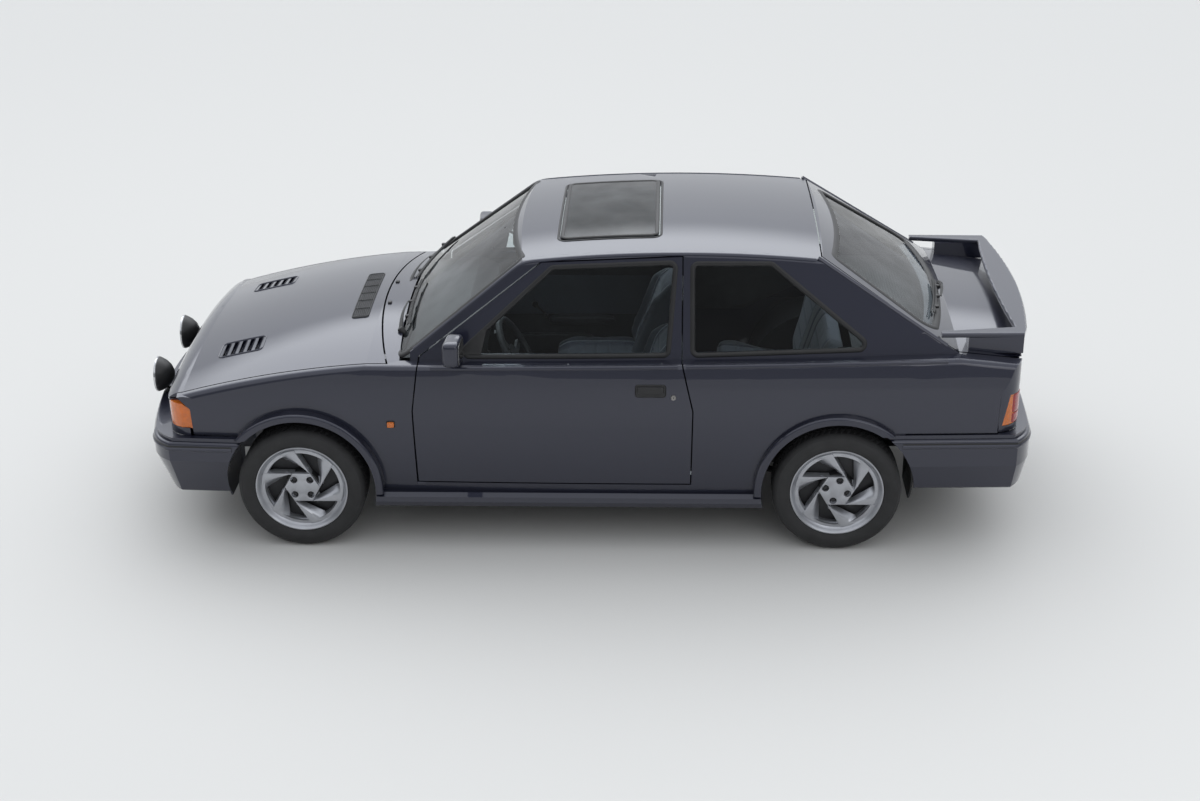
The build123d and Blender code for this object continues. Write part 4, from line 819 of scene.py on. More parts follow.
def wheel_pieces(place, x, side):
    """The casting copied to a wheel, turned to its place, with the rim, hub, brake disc and nuts."""
    spin, body, centre = math.radians(SPIN[place]), "wheel_" + place, (x, side * TRACK_Y, TYRE_RADIUS)
    cos, sin = math.cos(spin), math.sin(spin)

    def spun(points):
        points = points * (-side, 1, 1)
        return stacked(points[:, 0] * cos - points[:, 2] * sin, side * points[:, 1],
                       points[:, 0] * sin + points[:, 2] * cos) + centre
    faces = [list(p.vertices) for p in casting.data.polygons]
    face = put_mesh("wheel_face_" + place, spun(vertex_table(casting.data)), faces, sharp=0.5)
    place_piece(face, alloy, body, replaces=[body])
    for part, profile, steps, material in TURNED_PARTS:
        turned = put_grid(part + place, lathe_points(profile, steps, centre, side), True, True, sharp=0.6)
        place_piece(turned, material, body)
    points, faces = nut_mesh()
    nuts = put_mesh("wheel_nuts_" + place, spun(points), faces, smooth=False)
    place_piece(nuts, dark_alloy, body)


for place, (x, side) in wheel_places.items():
    wheel_pieces(place, x, side)
remove_piece(casting)

# %% [markdown]
# Rubbers and mouldings
#
# Each window sits in a black rubber. Its path is the window's outline with rounded corners,
# lifted onto the glass surface, and its profile is a low half-round lip that laps over both
# the glass and the metal. The same sweep, with other profiles, makes the roof rails.

# %% Window rubbers
DOOR_WINDOW = [(FRONT_X - 0.705, 0.893), (FRONT_X - 1.138, 1.278), (FRONT_X - 1.680, 1.300),
               (FRONT_X - 1.647, 0.905)]
QUARTER_WINDOW = [(REAR_X + 0.650, 1.295), (REAR_X + 0.304, 1.295), (REAR_X - 0.150, 0.930),
                  (REAR_X + 0.648, 0.905)]
SCREEN_WINDOW = [(-0.674, 0.880), (0.674, 0.880), (0.548, 1.302), (-0.548, 1.302)]
HATCH_WINDOW = [(-0.470, 1.284), (-0.612, 0.986), (0.612, 0.986), (0.470, 1.284)]
SIDE_LEAN = math.atan2(BELT_Y - EAVES_Y, EAVES_Z - BELT_Z)


def side_ring(outline, radius, out, side):
    """A window's outline on the side glass surface, with its outward direction."""
    ring = rounded(outline, radius)
    x, z = ring[:, 0], ring[:, 1]
    return stacked(x, side * glass_y(x, z, out), z), (0, side * math.cos(SIDE_LEAN), math.sin(SIDE_LEAN))


def raked_ring(outline, radius, surface, rake, bow, way):
    """A window's outline on a raked and bowed screen, with its outward directions; way is -1 where it faces back."""
    y, z = rounded(outline, radius).T
    return stacked(surface(y, z, 0.0), y, z), stacked(way * math.sin(rake), y / bow, math.cos(rake))


LIP = bead(0.026, 0.0035, -0.006)
for side, hand in SIDES:
    for window, outline, body in (("door", DOOR_WINDOW, "door_" + hand), ("quarter", QUARTER_WINDOW, "body")):
        path, normal = side_ring(outline, 0.026, 0.0, side)
        place_piece(sweep(f"{window}_window_rubber_{hand}", path, normal, LIP, True), rubber, body)
path, normals = raked_ring(SCREEN_WINDOW, 0.030, screen_x, SCREEN_RAKE, SCREEN_BOW, 1)
place_piece(sweep("windscreen_rubber", path, normals, bead(0.034, 0.004, -0.006), True), rubber)
path, normals = raked_ring(HATCH_WINDOW, 0.040, hatch_x, HATCH_RAKE, HATCH_BOW, -1)
place_piece(sweep("tailgate_glass_rubber", path, normals, bead(0.040, 0.004, -0.006), True), rubber,
            "tailgate")

# %% [markdown]
# Small trim on curved panels
#
# A patch is a thin pad with a rounded rim. Its flat outline is carried onto a panel by a place
# function, which turns two flat coordinates and a height above the panel into a point. Handles,
# lamps, plates and covers are all patches. A pebble is a superellipsoid, a box with soft
# corners at small powers and an egg at a power of one.

# %% Patches and pebbles
NOSE_CORNER = arc_through((FRONT_X + 0.600, 0.640), (FRONT_X + 0.568, 0.716), (FRONT_X + 0.490, 0.750))
TAIL_CORNER = arc_through((REAR_X - 0.795, 0.640), (REAR_X - 0.768, 0.716), (REAR_X - 0.700, 0.750))


def corner_x(corner, y, way):
    """x on a corner's arc at half width y, on the side that way points to."""
    return corner[0] + way * np.sqrt(np.maximum(corner[2] ** 2 - (np.abs(y) - corner[1]) ** 2, 1e-6))


def nose_face(y, out=0.0):
    """x of the nose below the bonnet: a 5.4 m arc in plan that turns into a tight arc at each corner."""
    y = np.asarray(y, float)
    return np.where(np.abs(y) > 0.640, corner_x(NOSE_CORNER, y, 1),
                    FRONT_X + 0.638 - fall(5.408, np.minimum(np.abs(y), 0.7))) + out


def tail_face(y, out=0.0):
    """x of the tail: a 7.6 m arc in plan that turns into a tight arc at each corner."""
    y = np.asarray(y, float)
    return np.where(np.abs(y) > 0.640, corner_x(TAIL_CORNER, y, -1),
                    REAR_X - 0.822 + fall(7.599, np.minimum(np.abs(y), 0.7))) - out


def over(surface):
    """Places flat x, y on a surface z(x, y)."""
    return lambda x, y, out: stacked(x, y, surface(x, y, out))


def against(surface):
    """Places flat y, z on a surface x(y, z)."""
    return lambda y, z, out: stacked(surface(y, z, out), y, z)


def beside(surface, side):
    """Places flat x, z on the left or the right surface y(x, z)."""
    return lambda x, z, out: stacked(x, side * surface(x, z, out), z)


def on_side(side):
    return beside(side_y, side)


on_top, on_roof = over(top_z), over(roof_z)
on_screen, on_hatch = against(screen_x), against(hatch_x)
on_nose = against(lambda y, z, out: nose_face(y, out))
on_tail = against(lambda y, z, out: tail_face(y, out))


def box_outline(a, b, radius, step=0.006):
    """A rectangle between two ranges with rounded corners."""
    return rounded([(a[0], b[0]), (a[1], b[0]), (a[1], b[1]), (a[0], b[1])], radius, step)


def patch(name, outline, place, low, high, edge=0.002, rings=5, **finish):
    """A pad between two heights above a panel, its outline carried there by place."""
    outline = np.asarray(outline, float)
    middle = (outline.max(0) + outline.min(0)) / 2
    size = np.linalg.norm(outline - middle, axis=1).mean()
    shares = np.linspace(1 - edge / size, 0, rings)
    levels = [(share, low) for share in shares[::-1]] + [(1, low), (1, high - edge),
                                                         (1 - 0.3 * edge / size, high - 0.3 * edge)]
    levels += [(share, high) for share in shares]
    rows = []
    for share, out in levels:
        flat = middle + (outline - middle) * share
        rows.append(place(*flat.T, out))
    return put_grid(name, np.stack(rows), wrap_columns=True, **finish)


def pebble_points(centre, half, power=0.4, rows=20, columns=32):
    """A superellipsoid about a centre."""
    def shaped(t):
        return np.sign(t) * np.abs(t) ** power
    v = np.linspace(-np.pi / 2, np.pi / 2, rows)[:, None]
    u = np.linspace(0, 2 * np.pi, columns, endpoint=False)[None, :]
    return stacked(centre[0] + half[0] * shaped(np.cos(v)) * shaped(np.cos(u)),
                   centre[1] + half[1] * shaped(np.cos(v)) * shaped(np.sin(u)),
                   centre[2] + half[2] * shaped(np.sin(v)))


def pebble(name, centre, half, power=0.4, rows=20, columns=32, turn=None, **finish):
    points = pebble_points((0, 0, 0), half, power, rows, columns)
    if turn is not None:
        points = points @ np.array(Matrix.Rotation(turn[1], 3, turn[0])).T
    return put_grid(name, points + np.asarray(centre, float), wrap_columns=True, **finish)


def lathe(name, profile, steps, base, axis, **finish):
    """A profile (radius, along) turned about an axis through base; a radius of 0.0001 closes an end."""
    axis = np.asarray(axis, float) / np.linalg.norm(axis)
    one = np.cross(axis, (0.0, 0.0, 1.0) if abs(axis[2]) < 0.9 else (1.0, 0.0, 0.0))
    one /= np.linalg.norm(one)
    two = np.cross(axis, one)
    turn = np.linspace(0, 2 * np.pi, steps, endpoint=False)[:, None, None]
    profile = np.asarray(profile, float)[None]
    points = (np.asarray(base, float) + profile[..., 1:] * axis
              + profile[..., :1] * (np.cos(turn) * one + np.sin(turn) * two))
    return put_grid(name, points, True, False, **finish)


def pipe(name, points, radius, count=12, closed=False, **finish):
    """A round bar along a smooth line through a few points."""
    points = np.asarray(points, float)
    if not closed and len(points) > 2:
        share = np.linspace(0, 1, len(points))
        fine = np.linspace(0, 1, 8 * (len(points) - 1) + 1)
        tangent = np.gradient(points, share, axis=0)
        k = np.clip(np.searchsorted(share, fine, "right") - 1, 0, len(points) - 2)
        h = share[1]
        t = ((fine - share[k]) / h)[:, None]
        points = ((2 * t ** 3 - 3 * t ** 2 + 1) * points[k] + (t ** 3 - 2 * t ** 2 + t) * h * tangent[k]
                  + (3 * t ** 2 - 2 * t ** 3) * points[k + 1] + (t ** 3 - t ** 2) * h * tangent[k + 1])
    along = np.gradient(points, axis=0)
    helper = np.array((0.31, 0.42, 0.85))
    normals = np.cross(along, helper)
    return sweep(name, points, normals, tube(radius, count), closed, **finish)


# %% [markdown]
# Roof rails and bumper ridges
#
# A rail follows the fold between the side glass surface and the roof, and runs on down the
# fold of each screen pillar. The fold is found by repeating the two surfaces' formulas until
# they agree. The bumpers carry a ridge and above it a thin black strip, painted shade that
# stands in for a groove; both are swept along the bumper's plan, which is the CAD's: a bowed
# front, two rounded corners and straight sides.

# %% Roof rails
def screen_fold(z, surface):
    """Where a raked screen meets the side glass surface, at heights z."""
    y = np.full_like(z, 0.62)
    for _ in range(12):
        x = surface(y, z)
        y = glass_y(x, z)
    return x, y


def roof_fold(x):
    z = np.full_like(x, 1.33)
    for _ in range(12):
        y = glass_y(x, z)
        z = roof_z(x, y)
    return y, z


def fold_path(side):
    """The whole fold of one side from the scuttle over the roof to the belt at the tail."""
    low = np.linspace(0.925, 1.300, 40)
    ax, ay = screen_fold(low, screen_x)
    roof_x = np.linspace(FRONT_X - 1.02, REAR_X + 0.115, 70)
    by, bz = roof_fold(roof_x)
    path = np.vstack([stacked(ax, ay, low), stacked(roof_x, by, bz)])
    return soften_line(path, 6) * (1, side, 1)


RAIL = [(-0.008, -0.012), (-0.008, 0.0005), (-0.004, 0.0030), (0.004, 0.0030), (0.008, 0.0005),
        (0.008, -0.012)]
for side, hand in SIDES:
    normal = np.array((0.0, side * 0.72, 0.69))
    place_piece(sweep("roof_rail_" + hand, fold_path(side) - normal * 0.0035, normal, RAIL), paint)
    down = np.linspace(1.318, 0.945, 50)
    cx, cy = screen_fold(down, hatch_x)
    normal = np.array((-0.25, side * 0.80, 0.55))
    ridge = sweep("rear_pillar_ridge_" + hand, stacked(cx, side * cy, down) - normal * 0.002, normal, RAIL)
    place_piece(ridge, paint)


# %% Bumper ridges
def bumper_path(plan, side_x, steps=26):
    """Plan of a bumper as points and outward directions, from its left end round to its right end."""
    centre, bend, middle, end = [np.array(p, float) for p in plan]
    sign = 1 if centre[0] > 0 else -1
    root = np.array((1.4125, 0.806) if sign > 0 else (-1.2875, 0.806))
    side_y0 = root[1] + (end[1] - root[1]) * (side_x - root[0]) / (end[0] - root[0])
    points = [np.linspace((side_x, side_y0), end, 12)[:-1]]
    cx, cy, r = arc_through(tuple(end), tuple(middle), tuple(bend))
    a0, a1 = math.atan2(end[1] - cy, end[0] - cx), math.atan2(bend[1] - cy, bend[0] - cx)
    a1 += 2 * np.pi * round((a0 - a1) / (2 * np.pi))
    turn = np.linspace(a0, a1, 12)
    points.append(stacked(cx + r * np.cos(turn), cy + r * np.sin(turn))[:-1])
    y = np.linspace(bend[1], 0, steps)
    bow = (bend[1] ** 2 + (centre[0] - bend[0]) ** 2) / (2 * abs(centre[0] - bend[0]))
    points.append(stacked(centre[0] - sign * fall(bow, y), y))
    half = np.vstack(points)
    whole = np.vstack([half, half[-2::-1] * (1, -1)])
    along = np.gradient(whole, axis=0)
    normals = stacked(along[:, 1], -along[:, 0])
    normals *= np.sign((normals * whole).sum(1))[:, None]
    normals /= np.linalg.norm(normals, axis=1, keepdims=True)
    return whole, normals


def bumper_strips(end, plan, side_x, ridge_z):
    """A bumper's ridge, and above it a black strip of painted shade where a groove would be."""
    whole, normals = bumper_path(plan, side_x)
    # The ridge is paint; the strip above it is black rubber, painted shade in place of a groove.
    for part, z, profile, material in (("ridge", ridge_z, RIDGE, paint),
                                       ("shade_strip", ridge_z + 0.0125, SHADE_STRIP, rubber)):
        strip = sweep(f"{end}_bumper_{part}", stacked(*whole.T, z), stacked(*normals.T, 0.0), profile)
        place_piece(strip, material)


FRONT_PLAN = ((2.0225, 0), (1.9565, 0.600), (1.9245, 0.712), (1.8505, 0.785))
REAR_PLAN = ((-2.0225, 0), (-2.0005, 0.610), (-1.9765, 0.712), (-1.9225, 0.784))
RIDGE = [(-0.009, -0.004), (-0.009, 0.001), (-0.004, 0.0055), (0.004, 0.0055), (0.009, 0.001),
         (0.009, -0.004)]
# Profile of the black strip of painted shade that lies above each bumper ridge.
SHADE_STRIP = [(-0.004, -0.004), (-0.004, 0.0008), (0.004, 0.0008), (0.004, -0.004)]
bumper_strips("front", FRONT_PLAN, FRONT_X + 0.300, 0.478)
bumper_strips("rear", REAR_PLAN, REAR_X - 0.280, 0.516)

# %% [markdown]
# Lamps
#
# A headlamp is a thin ribbed lens over a dark box with two round reflectors and bulbs. The
# driving lamps are bowls with a bright rim and a ribbed lens. The tail lamps are the CAD's
# amber body, which shows at the side as in the photograph, under blocks of red and clear lens.

# %% Headlamps and indicators
def mirrored(place, side):
    """The same place function, turned over to the side asked for."""
    return lambda y, z, out: place(side * y, z, out)


headlamp_parts = ["headlamps"]
for side, hand in SIDES:
    place_lens = mirrored(on_nose, side)
    outline = box_outline((0.332, 0.650), (0.552, 0.674), 0.010)
    housing = patch("headlamp_housing_" + hand, outline, place_lens, -0.085, -0.070)
    place_piece(housing, black_plastic)
    wall = [(-0.0015, -0.085), (-0.0015, -0.004), (0.0015, -0.004), (0.0015, -0.085)]
    surround = sweep("headlamp_surround_" + hand, place_lens(*outline.T, 0.0), (1.0, 0.0, 0.0), wall, True)
    place_piece(surround, black_plastic)
    lens_piece = patch("headlamp_lens_" + hand, box_outline((0.334, 0.648), (0.554, 0.672), 0.009),
                       place_lens, -0.005, -0.001)
    place_piece(lens_piece, clear_lens, replaces=headlamp_parts)
    headlamp_parts = []
    bowl = [(0.0001, -0.062), (0.020, -0.058), (0.038, -0.046), (0.050, -0.028), (0.054, -0.014),
            (0.056, -0.014), (0.056, -0.020), (0.040, -0.050), (0.020, -0.064), (0.0001, -0.066)]
    for part, y in (("dip", 0.560), ("main", 0.430)):
        base = (nose_face(y), side * y, 0.613)
        place_piece(lathe(f"headlamp_{part}_reflector_{hand}", bowl, 48, base, (1, 0, 0)), mirror_metal)
        bulb_profile = [(0.0001, -0.060), (0.006, -0.060), (0.006, -0.030), (0.0001, -0.026)]
        bulb = lathe(f"headlamp_{part}_bulb_{hand}", bulb_profile, 20, base, (1, 0, 0))
        place_piece(bulb, bright_steel)

# %% Driving lamps
bowl = [(0.0001, -0.078), (0.024, -0.074), (0.048, -0.060), (0.066, -0.040), (0.077, -0.020),
        (0.0825, -0.006), (0.0825, 0.000), (0.0795, 0.002), (0.0775, -0.002), (0.0775, -0.012),
        (0.0001, -0.014)]
chrome_ring = [(0.0775, -0.002), (0.0795, 0.0025), (0.0818, 0.0018), (0.0830, -0.003), (0.0818, -0.008),
               (0.0785, -0.008)]
lens_dome = [(0.0001, 0.0010), (0.025, 0.0004), (0.050, -0.0012), (0.070, -0.0042), (0.0776, -0.0066),
             (0.0776, -0.0096), (0.050, -0.0050), (0.0001, -0.0030)]
driving_parts = ["driving_lamps"]
for side, hand in SIDES:
    base = np.array((FRONT_X + 0.752, side * 0.259, 0.615))
    shell = lathe("driving_lamp_bowl_" + hand, bowl, 72, base, (1, 0, 0))
    place_piece(shell, black_plastic, replaces=driving_parts)
    driving_parts = []
    place_piece(lathe("driving_lamp_ring_" + hand, chrome_ring + chrome_ring[:1], 72, base, (1, 0, 0)),
                bright_steel)
    place_piece(lathe("driving_lamp_lens_" + hand, lens_dome, 72, base, (1, 0, 0)), lamp_lens)
    line = [base + p for p in ((-0.042, 0, -0.066), (-0.044, 0, -0.080), (-0.044, 0, -0.100))]
    place_piece(pipe("driving_lamp_foot_" + hand, line, 0.011), black_plastic)
    nut_profile = [(0.0001, 0.0), (0.019, 0.0), (0.019, 0.009), (0.0001, 0.009)]
    nut = lathe("driving_lamp_nut_" + hand, nut_profile, 6, (base[0] - 0.044, base[1], 0.5255), (0, 0, 1),
                smooth=False)
    place_piece(nut, black_plastic)

# %% Repeaters, tail lamps and plates
for side, hand in SIDES:
    outline = box_outline((0.825, 0.865), (0.587, 0.621), 0.007, 0.003)
    place_piece(patch("repeater_base_" + hand, outline, on_side(side), -0.002, 0.003), rubber)
    outline = box_outline((0.829, 0.861), (0.591, 0.617), 0.006, 0.003)
    place_piece(patch("repeater_lens_" + hand, outline, on_side(side), 0.001, 0.011, 0.004), amber)
    blocks = (("stop", 0.672, 0.722, 0.652, 0.738, red), ("tail", 0.582, 0.668, 0.652, 0.738, red),
              ("reverse", 0.582, 0.668, 0.602, 0.648, clear_lens), ("fog", 0.672, 0.722, 0.602, 0.648, red))
    for part, y0, y1, z0, z1, material in blocks:
        lens_piece = patch(f"tail_lamp_{part}_{hand}", box_outline((y0, y1), (z0, z1), 0.006, 0.004),
                           mirrored(on_tail, side), -0.006, 0.002)
        place_piece(lens_piece, material)

HALF_PLATE, PLATE_HIGH, PLATE_RIM = 0.260, 0.112, 0.006
FRONT_PLATE_Z, REAR_PLATE_Z, NOSE_X, NOSE_BOW = 0.356, 0.640, 2.0225, 2.76
on_bumper = against(lambda y, z, out: NOSE_X - fall(NOSE_BOW, y) + out)
outline = box_outline((-HALF_PLATE - PLATE_RIM, HALF_PLATE + PLATE_RIM),
                      (FRONT_PLATE_Z - PLATE_RIM, FRONT_PLATE_Z + PLATE_HIGH + PLATE_RIM), 0.014)
place_piece(patch("front_plate_holder", outline, on_bumper, -0.030, -0.0065), black_plastic)
for end, z, place, low, high, body in (("front", FRONT_PLATE_Z, on_bumper, -0.012, -0.001, "body"),
                                       ("rear", REAR_PLATE_Z, on_tail, -0.001, 0.006, "tailgate")):
    outline = box_outline((-HALF_PLATE, HALF_PLATE), (z, z + PLATE_HIGH), 0.012)
    place_piece(patch(end + "_plate_blank", outline, place, low, high), plate_white, body)

# %% [markdown]
# Bonnet and scuttle
#
# Each louvre panel has a raised rim, a slanted vane in every slot and a dark tray beneath. The
# grille at the back of the bonnet is a shallow frame full of thin slats. Two wipers rest along
# the foot of the glass, each a tapered arm from a capped pivot to a yoke over a rubber blade.

# %% Louvres and bonnet grille
def surface_ring(outline, place, out=0.0):
    """A closed outline on a surface, with the surface's own outward direction at each point."""
    path = place(*outline.T, out)
    return path, place(*outline.T, out + 0.01) - path


def rim_on(name, outline, place, width, height, material, body="body", out=0.0):
    """A raised bead round an outline on a surface."""
    path, normals = surface_ring(outline, place, out)
    return place_piece(sweep(name, path, normals, bead(width, height, -0.003, 7), True), material, body)


LOUVRE_X, LOUVRE_Y, LOUVRE_PITCH, LOUVRE_HALF = FRONT_X + 0.303, 0.401, 0.038, 0.059
LOUVRE_RIM_X, LOUVRE_RIM_Y, LOUVRE_TRAY_X, VANE_RUN = 0.102, 0.067, 0.095, 0.017
for side, hand in SIDES:
    ends = sorted((side * (LOUVRE_Y - LOUVRE_RIM_Y), side * (LOUVRE_Y + LOUVRE_RIM_Y)))
    outline = box_outline((LOUVRE_X - LOUVRE_RIM_X, LOUVRE_X + LOUVRE_RIM_X), ends, 0.022)
    rim_on("louvre_rim_" + hand, outline, on_top, 0.010, 0.0045, paint, "bonnet")
    outline = box_outline((LOUVRE_X - LOUVRE_TRAY_X, LOUVRE_X + LOUVRE_TRAY_X), ends, 0.010)
    place_piece(patch("louvre_tray_" + hand, outline, on_top, -0.030, -0.025), black_plastic, "bonnet")
    for step in range(5):
        x = LOUVRE_X + (step - 2) * LOUVRE_PITCH
        y = np.linspace(side * (LOUVRE_Y - LOUVRE_HALF), side * (LOUVRE_Y + LOUVRE_HALF), 9)
        share = np.linspace(0, 1, 7)
        rows = []
        for s in np.concatenate([share, share[::-1]]):
            upper = len(rows) < len(share)
            out = 0.0035 - VANE_RUN * s - 0.004 * math.sin(s * math.pi) - (0 if upper else 0.0018)
            rows.append(on_top(x - 0.0105 + VANE_RUN * s, y, out))
        vane = put_grid(f"louvre_vane_{step}_{hand}", np.stack(rows), wrap_rows=True)
        place_piece(vane, paint, "bonnet")

GRILLE_X, GRILLE_Y = (FRONT_X - 0.262, FRONT_X - 0.188), 0.280
outline = box_outline(GRILLE_X, (-GRILLE_Y, GRILLE_Y), 0.014)
place_piece(patch("bonnet_grille_base", outline, on_top, -0.002, 0.0015), dash_plastic, "bonnet")
rim_on("bonnet_grille_frame", outline, on_top, 0.009, 0.006, dash_plastic, "bonnet")
for step in range(7):
    x = GRILLE_X[0] + 0.010 + step * 0.009
    y = np.linspace(-GRILLE_Y + 0.006, GRILLE_Y - 0.006, 24)
    slat = sweep(f"bonnet_grille_slat_{step}", on_top(x, y, 0.001), (-0.35, 0, 1.0),
                 bead(0.0045, 0.0045, -0.001, 6))
    place_piece(slat, dash_plastic, "bonnet")
for step, y in enumerate((-0.187, -0.093, 0.0, 0.093, 0.187)):
    x = np.linspace(GRILLE_X[0] + 0.003, GRILLE_X[1] - 0.003, 8)
    rib = sweep(f"bonnet_grille_rib_{step}", on_top(x, y, 0.001), (0, 0, 1.0), bead(0.005, 0.0055, -0.001, 6))
    place_piece(rib, dash_plastic, "bonnet")

# %% Wipers and washer jet
def wiper(tag, pivot, middle, ends, place, body, normal, parts=()):
    """A capped pivot, an arm to the blade's middle, and a blade with its spine, rubber and clips."""
    base, centre = place(*pivot, 0.0), place(*middle, 0.026)
    cap_profile = [(0.0001, -0.014), (0.017, -0.014), (0.017, 0.008), (0.013, 0.020), (0.0001, 0.023)]
    place_piece(lathe("wiper_pivot_" + tag, cap_profile, 28, base, normal), black_plastic, body,
                replaces=parts)
    share = np.linspace(0, 1, 18)[:, None]
    lift = 0.012 * np.sin(share * np.pi)
    path = base + normal * 0.014 + (centre - base - normal * 0.014) * share + normal * lift
    table = sweep_points(path, normal, [(-0.011, -0.004), (-0.009, 0.004), (0.009, 0.004), (0.011, -0.004)])
    middle_line = table.mean(1, keepdims=True)
    table = middle_line + (table - middle_line) * (1.0 - 0.62 * share[:, :, None])
    faces = grid_faces(18, 4, False, True).tolist() + [[0, 1, 2, 3], [71, 70, 69, 68]]
    place_piece(put_mesh("wiper_arm_" + tag, table, faces), black_plastic, body)
    first, last = np.array(ends[0]), np.array(ends[1])
    flat = first + (last - first) * np.linspace(0, 1, 22)[:, None]
    for part, material, out, profile in (
            ("spine", black_plastic, 0.013, [(-0.0050, 0), (-0.0035, 0.0045), (0.0035, 0.0045), (0.0050, 0)]),
            ("rubber", rubber, 0.0055, [(-0.0012, 0), (-0.0030, 0.0080), (0.0030, 0.0080), (0.0012, 0)])):
        place_piece(sweep(f"wiper_{part}_{tag}", place(*flat.T, out), normal, profile), material, body)
    for step, at in enumerate((0.18, 0.5, 0.82)):
        spot = first + (last - first) * at
        clip = pebble(f"wiper_clip_{step}_{tag}", place(*spot, 0.0175), (0.011, 0.011, 0.007), 0.6, 8, 12)
        place_piece(clip, black_plastic, body)


SCREEN_NORMAL = np.array((SCREEN_RISE, 0, SCREEN_RUN)) / math.hypot(SCREEN_RISE, SCREEN_RUN)
HATCH_NORMAL = np.array((-HATCH_RISE, 0, HATCH_RUN)) / math.hypot(HATCH_RISE, HATCH_RUN)
for tag, y, parts in (("near", 0.435, ["wipers"]), ("far", -0.160, [])):
    wiper(tag, (y, 0.908), (y - 0.235, 0.962), ((y + 0.005, 0.944), (y - 0.475, 0.977)), on_screen, "body",
          SCREEN_NORMAL, parts)
wiper("rear", (0.0, 0.972), (0.230, 1.008), ((0.010, 1.000), (0.450, 1.014)), on_hatch, "tailgate",
      HATCH_NORMAL)
for step, y in enumerate((0.135, -0.135)):
    spot = on_top(FRONT_X - 0.345, y, 0.0)
    place_piece(pebble(f"washer_jet_{step}", spot, (0.010, 0.013, 0.008), 0.5, 10, 16), black_plastic)

# %% [markdown]
# Doors and mirrors
#
# The handle is a flat black plate with a flap over a finger recess, and its lock is a steel
# barrel behind it. The mirror's head is a pebble whose back is cut flat for the glass, on a
# black foot at the front corner of the window.

# %% Handles, locks and mirrors
DOOR_LOCK = [(0.0001, 0.003), (0.0075, 0.003), (0.0085, 0.004), (0.0105, 0.0045), (0.0125, 0.001),
             (0.0125, -0.004)]
MIRROR_X, MIRROR_Y, MIRROR_HALF = 0.5135, 0.823, 0.073


def on_mirror(side):
    """The back of a mirror's head, which is turned a little towards the driver."""
    toed_in = against(lambda y, z, out: MIRROR_X - out + 0.006 * (y - MIRROR_Y) / MIRROR_HALF)
    return lambda y, z, out: toed_in(y, z, out) * (1, side, 1)


for side, hand in SIDES:
    door = "door_" + hand
    outline = box_outline((-0.374, -0.241), (0.745, 0.799), 0.012, 0.003)
    place_piece(patch("handle_plate_" + hand, outline, on_side(side), -0.003, 0.0025), black_plastic, door)
    rim_on("handle_rim_" + hand, outline, on_side(side), 0.005, 0.0045, black_plastic, door)
    outline = box_outline((-0.366, -0.249), (0.762, 0.793), 0.009, 0.003)
    place_piece(patch("handle_flap_" + hand, outline, on_side(side), 0.001, 0.012, 0.005), black_plastic,
                door)
    base = on_side(side)(-0.408, 0.742, 0.0)
    place_piece(lathe("door_lock_" + hand, DOOR_LOCK, 28, base, (0, side, 0.1)), steel, door)
    slit = patch("lock_slit_" + hand, box_outline((-0.4092, -0.4068), (0.7370, 0.7470), 0.0008, 0.001),
                 on_side(side), 0.002, 0.0036, 0.0004)
    place_piece(slit, rubber, door)
    head = pebble_points((0, 0, 0), (0.039, MIRROR_HALF, 0.059), 0.42, 26, 44)
    head[..., 0] = np.maximum(head[..., 0], -0.034) + 0.006 * (head[..., 1] / MIRROR_HALF * side)
    head[..., 2] += 0.004 * np.abs(head[..., 1] / MIRROR_HALF)
    head += (MIRROR_X + 0.033, side * MIRROR_Y, 0.975)
    place_piece(put_grid("mirror_head_" + hand, head, wrap_columns=True), paint, door,
                replaces=["mirror_" + hand])
    bezel = patch("mirror_bezel_" + hand, box_outline((0.763, 0.885), (0.926, 1.026), 0.020, 0.004),
                  on_mirror(side), -0.004, 0.0020)
    place_piece(bezel, black_plastic, door)
    outline = box_outline((0.769, 0.879), (0.932, 1.020), 0.016, 0.004)
    place_piece(patch("mirror_glass_" + hand, outline, on_mirror(side), 0.001, 0.0026, 0.0005),
                mirror_glass, door)
    foot = pebble("mirror_foot_" + hand, (0.556, side * 0.730, 0.920), (0.028, 0.062, 0.024), 0.6, 16, 28)
    place_piece(foot, black_plastic, door)
    outline = rounded([(0.440, 0.905), (0.415, 1.010), (0.430, 1.012), (0.552, 0.905)], 0.006, 0.004)
    sail = patch("mirror_sail_" + hand, outline, beside(glass_y, side), -0.004, 0.004)
    place_piece(sail, black_plastic, door)

# %% Roof glass frame, fuel flap and exhaust tip
rim_on("sunroof_rim", box_outline((-0.332, 0.089), (-0.388, 0.388), 0.030), on_roof, 0.020, 0.0040,
       black_plastic, "sunroof", out=0.005)
rim_on("roof_seal", box_outline((-0.3515, 0.1085), (-0.4075, 0.4075), 0.042), on_roof, 0.012, 0.0035, rubber)

outline = box_outline((-1.345, -1.195), (0.690, 0.830), 0.016)
place_piece(patch("fuel_flap_gap", outline, on_side(-1), -0.002, 0.0004), rubber)
outline = box_outline((-1.342, -1.198), (0.693, 0.827), 0.014)
place_piece(patch("fuel_flap", outline, on_side(-1), -0.001, 0.0016), paint)
EXHAUST_END, EXHAUST_AXIS = (-1.9480, -0.4400, 0.2340), (1, 0, 0.004)
tip = [(0.0252, 0.0), (0.0285, 0.0), (0.0295, -0.002), (0.0295, -0.070), (0.0285, -0.0735), (0.0255, -0.0735),
       (0.0245, -0.070), (0.0245, -0.0685), (0.0001, -0.0685)]
plug = [(0.0001, -0.0690), (0.0235, -0.0690), (0.0235, -0.0698), (0.0001, -0.0698)]
place_piece(lathe("exhaust_tip", tip, 40, EXHAUST_END, EXHAUST_AXIS), bright_steel)
place_piece(lathe("exhaust_inside", plug, 32, EXHAUST_END, EXHAUST_AXIS), rubber)

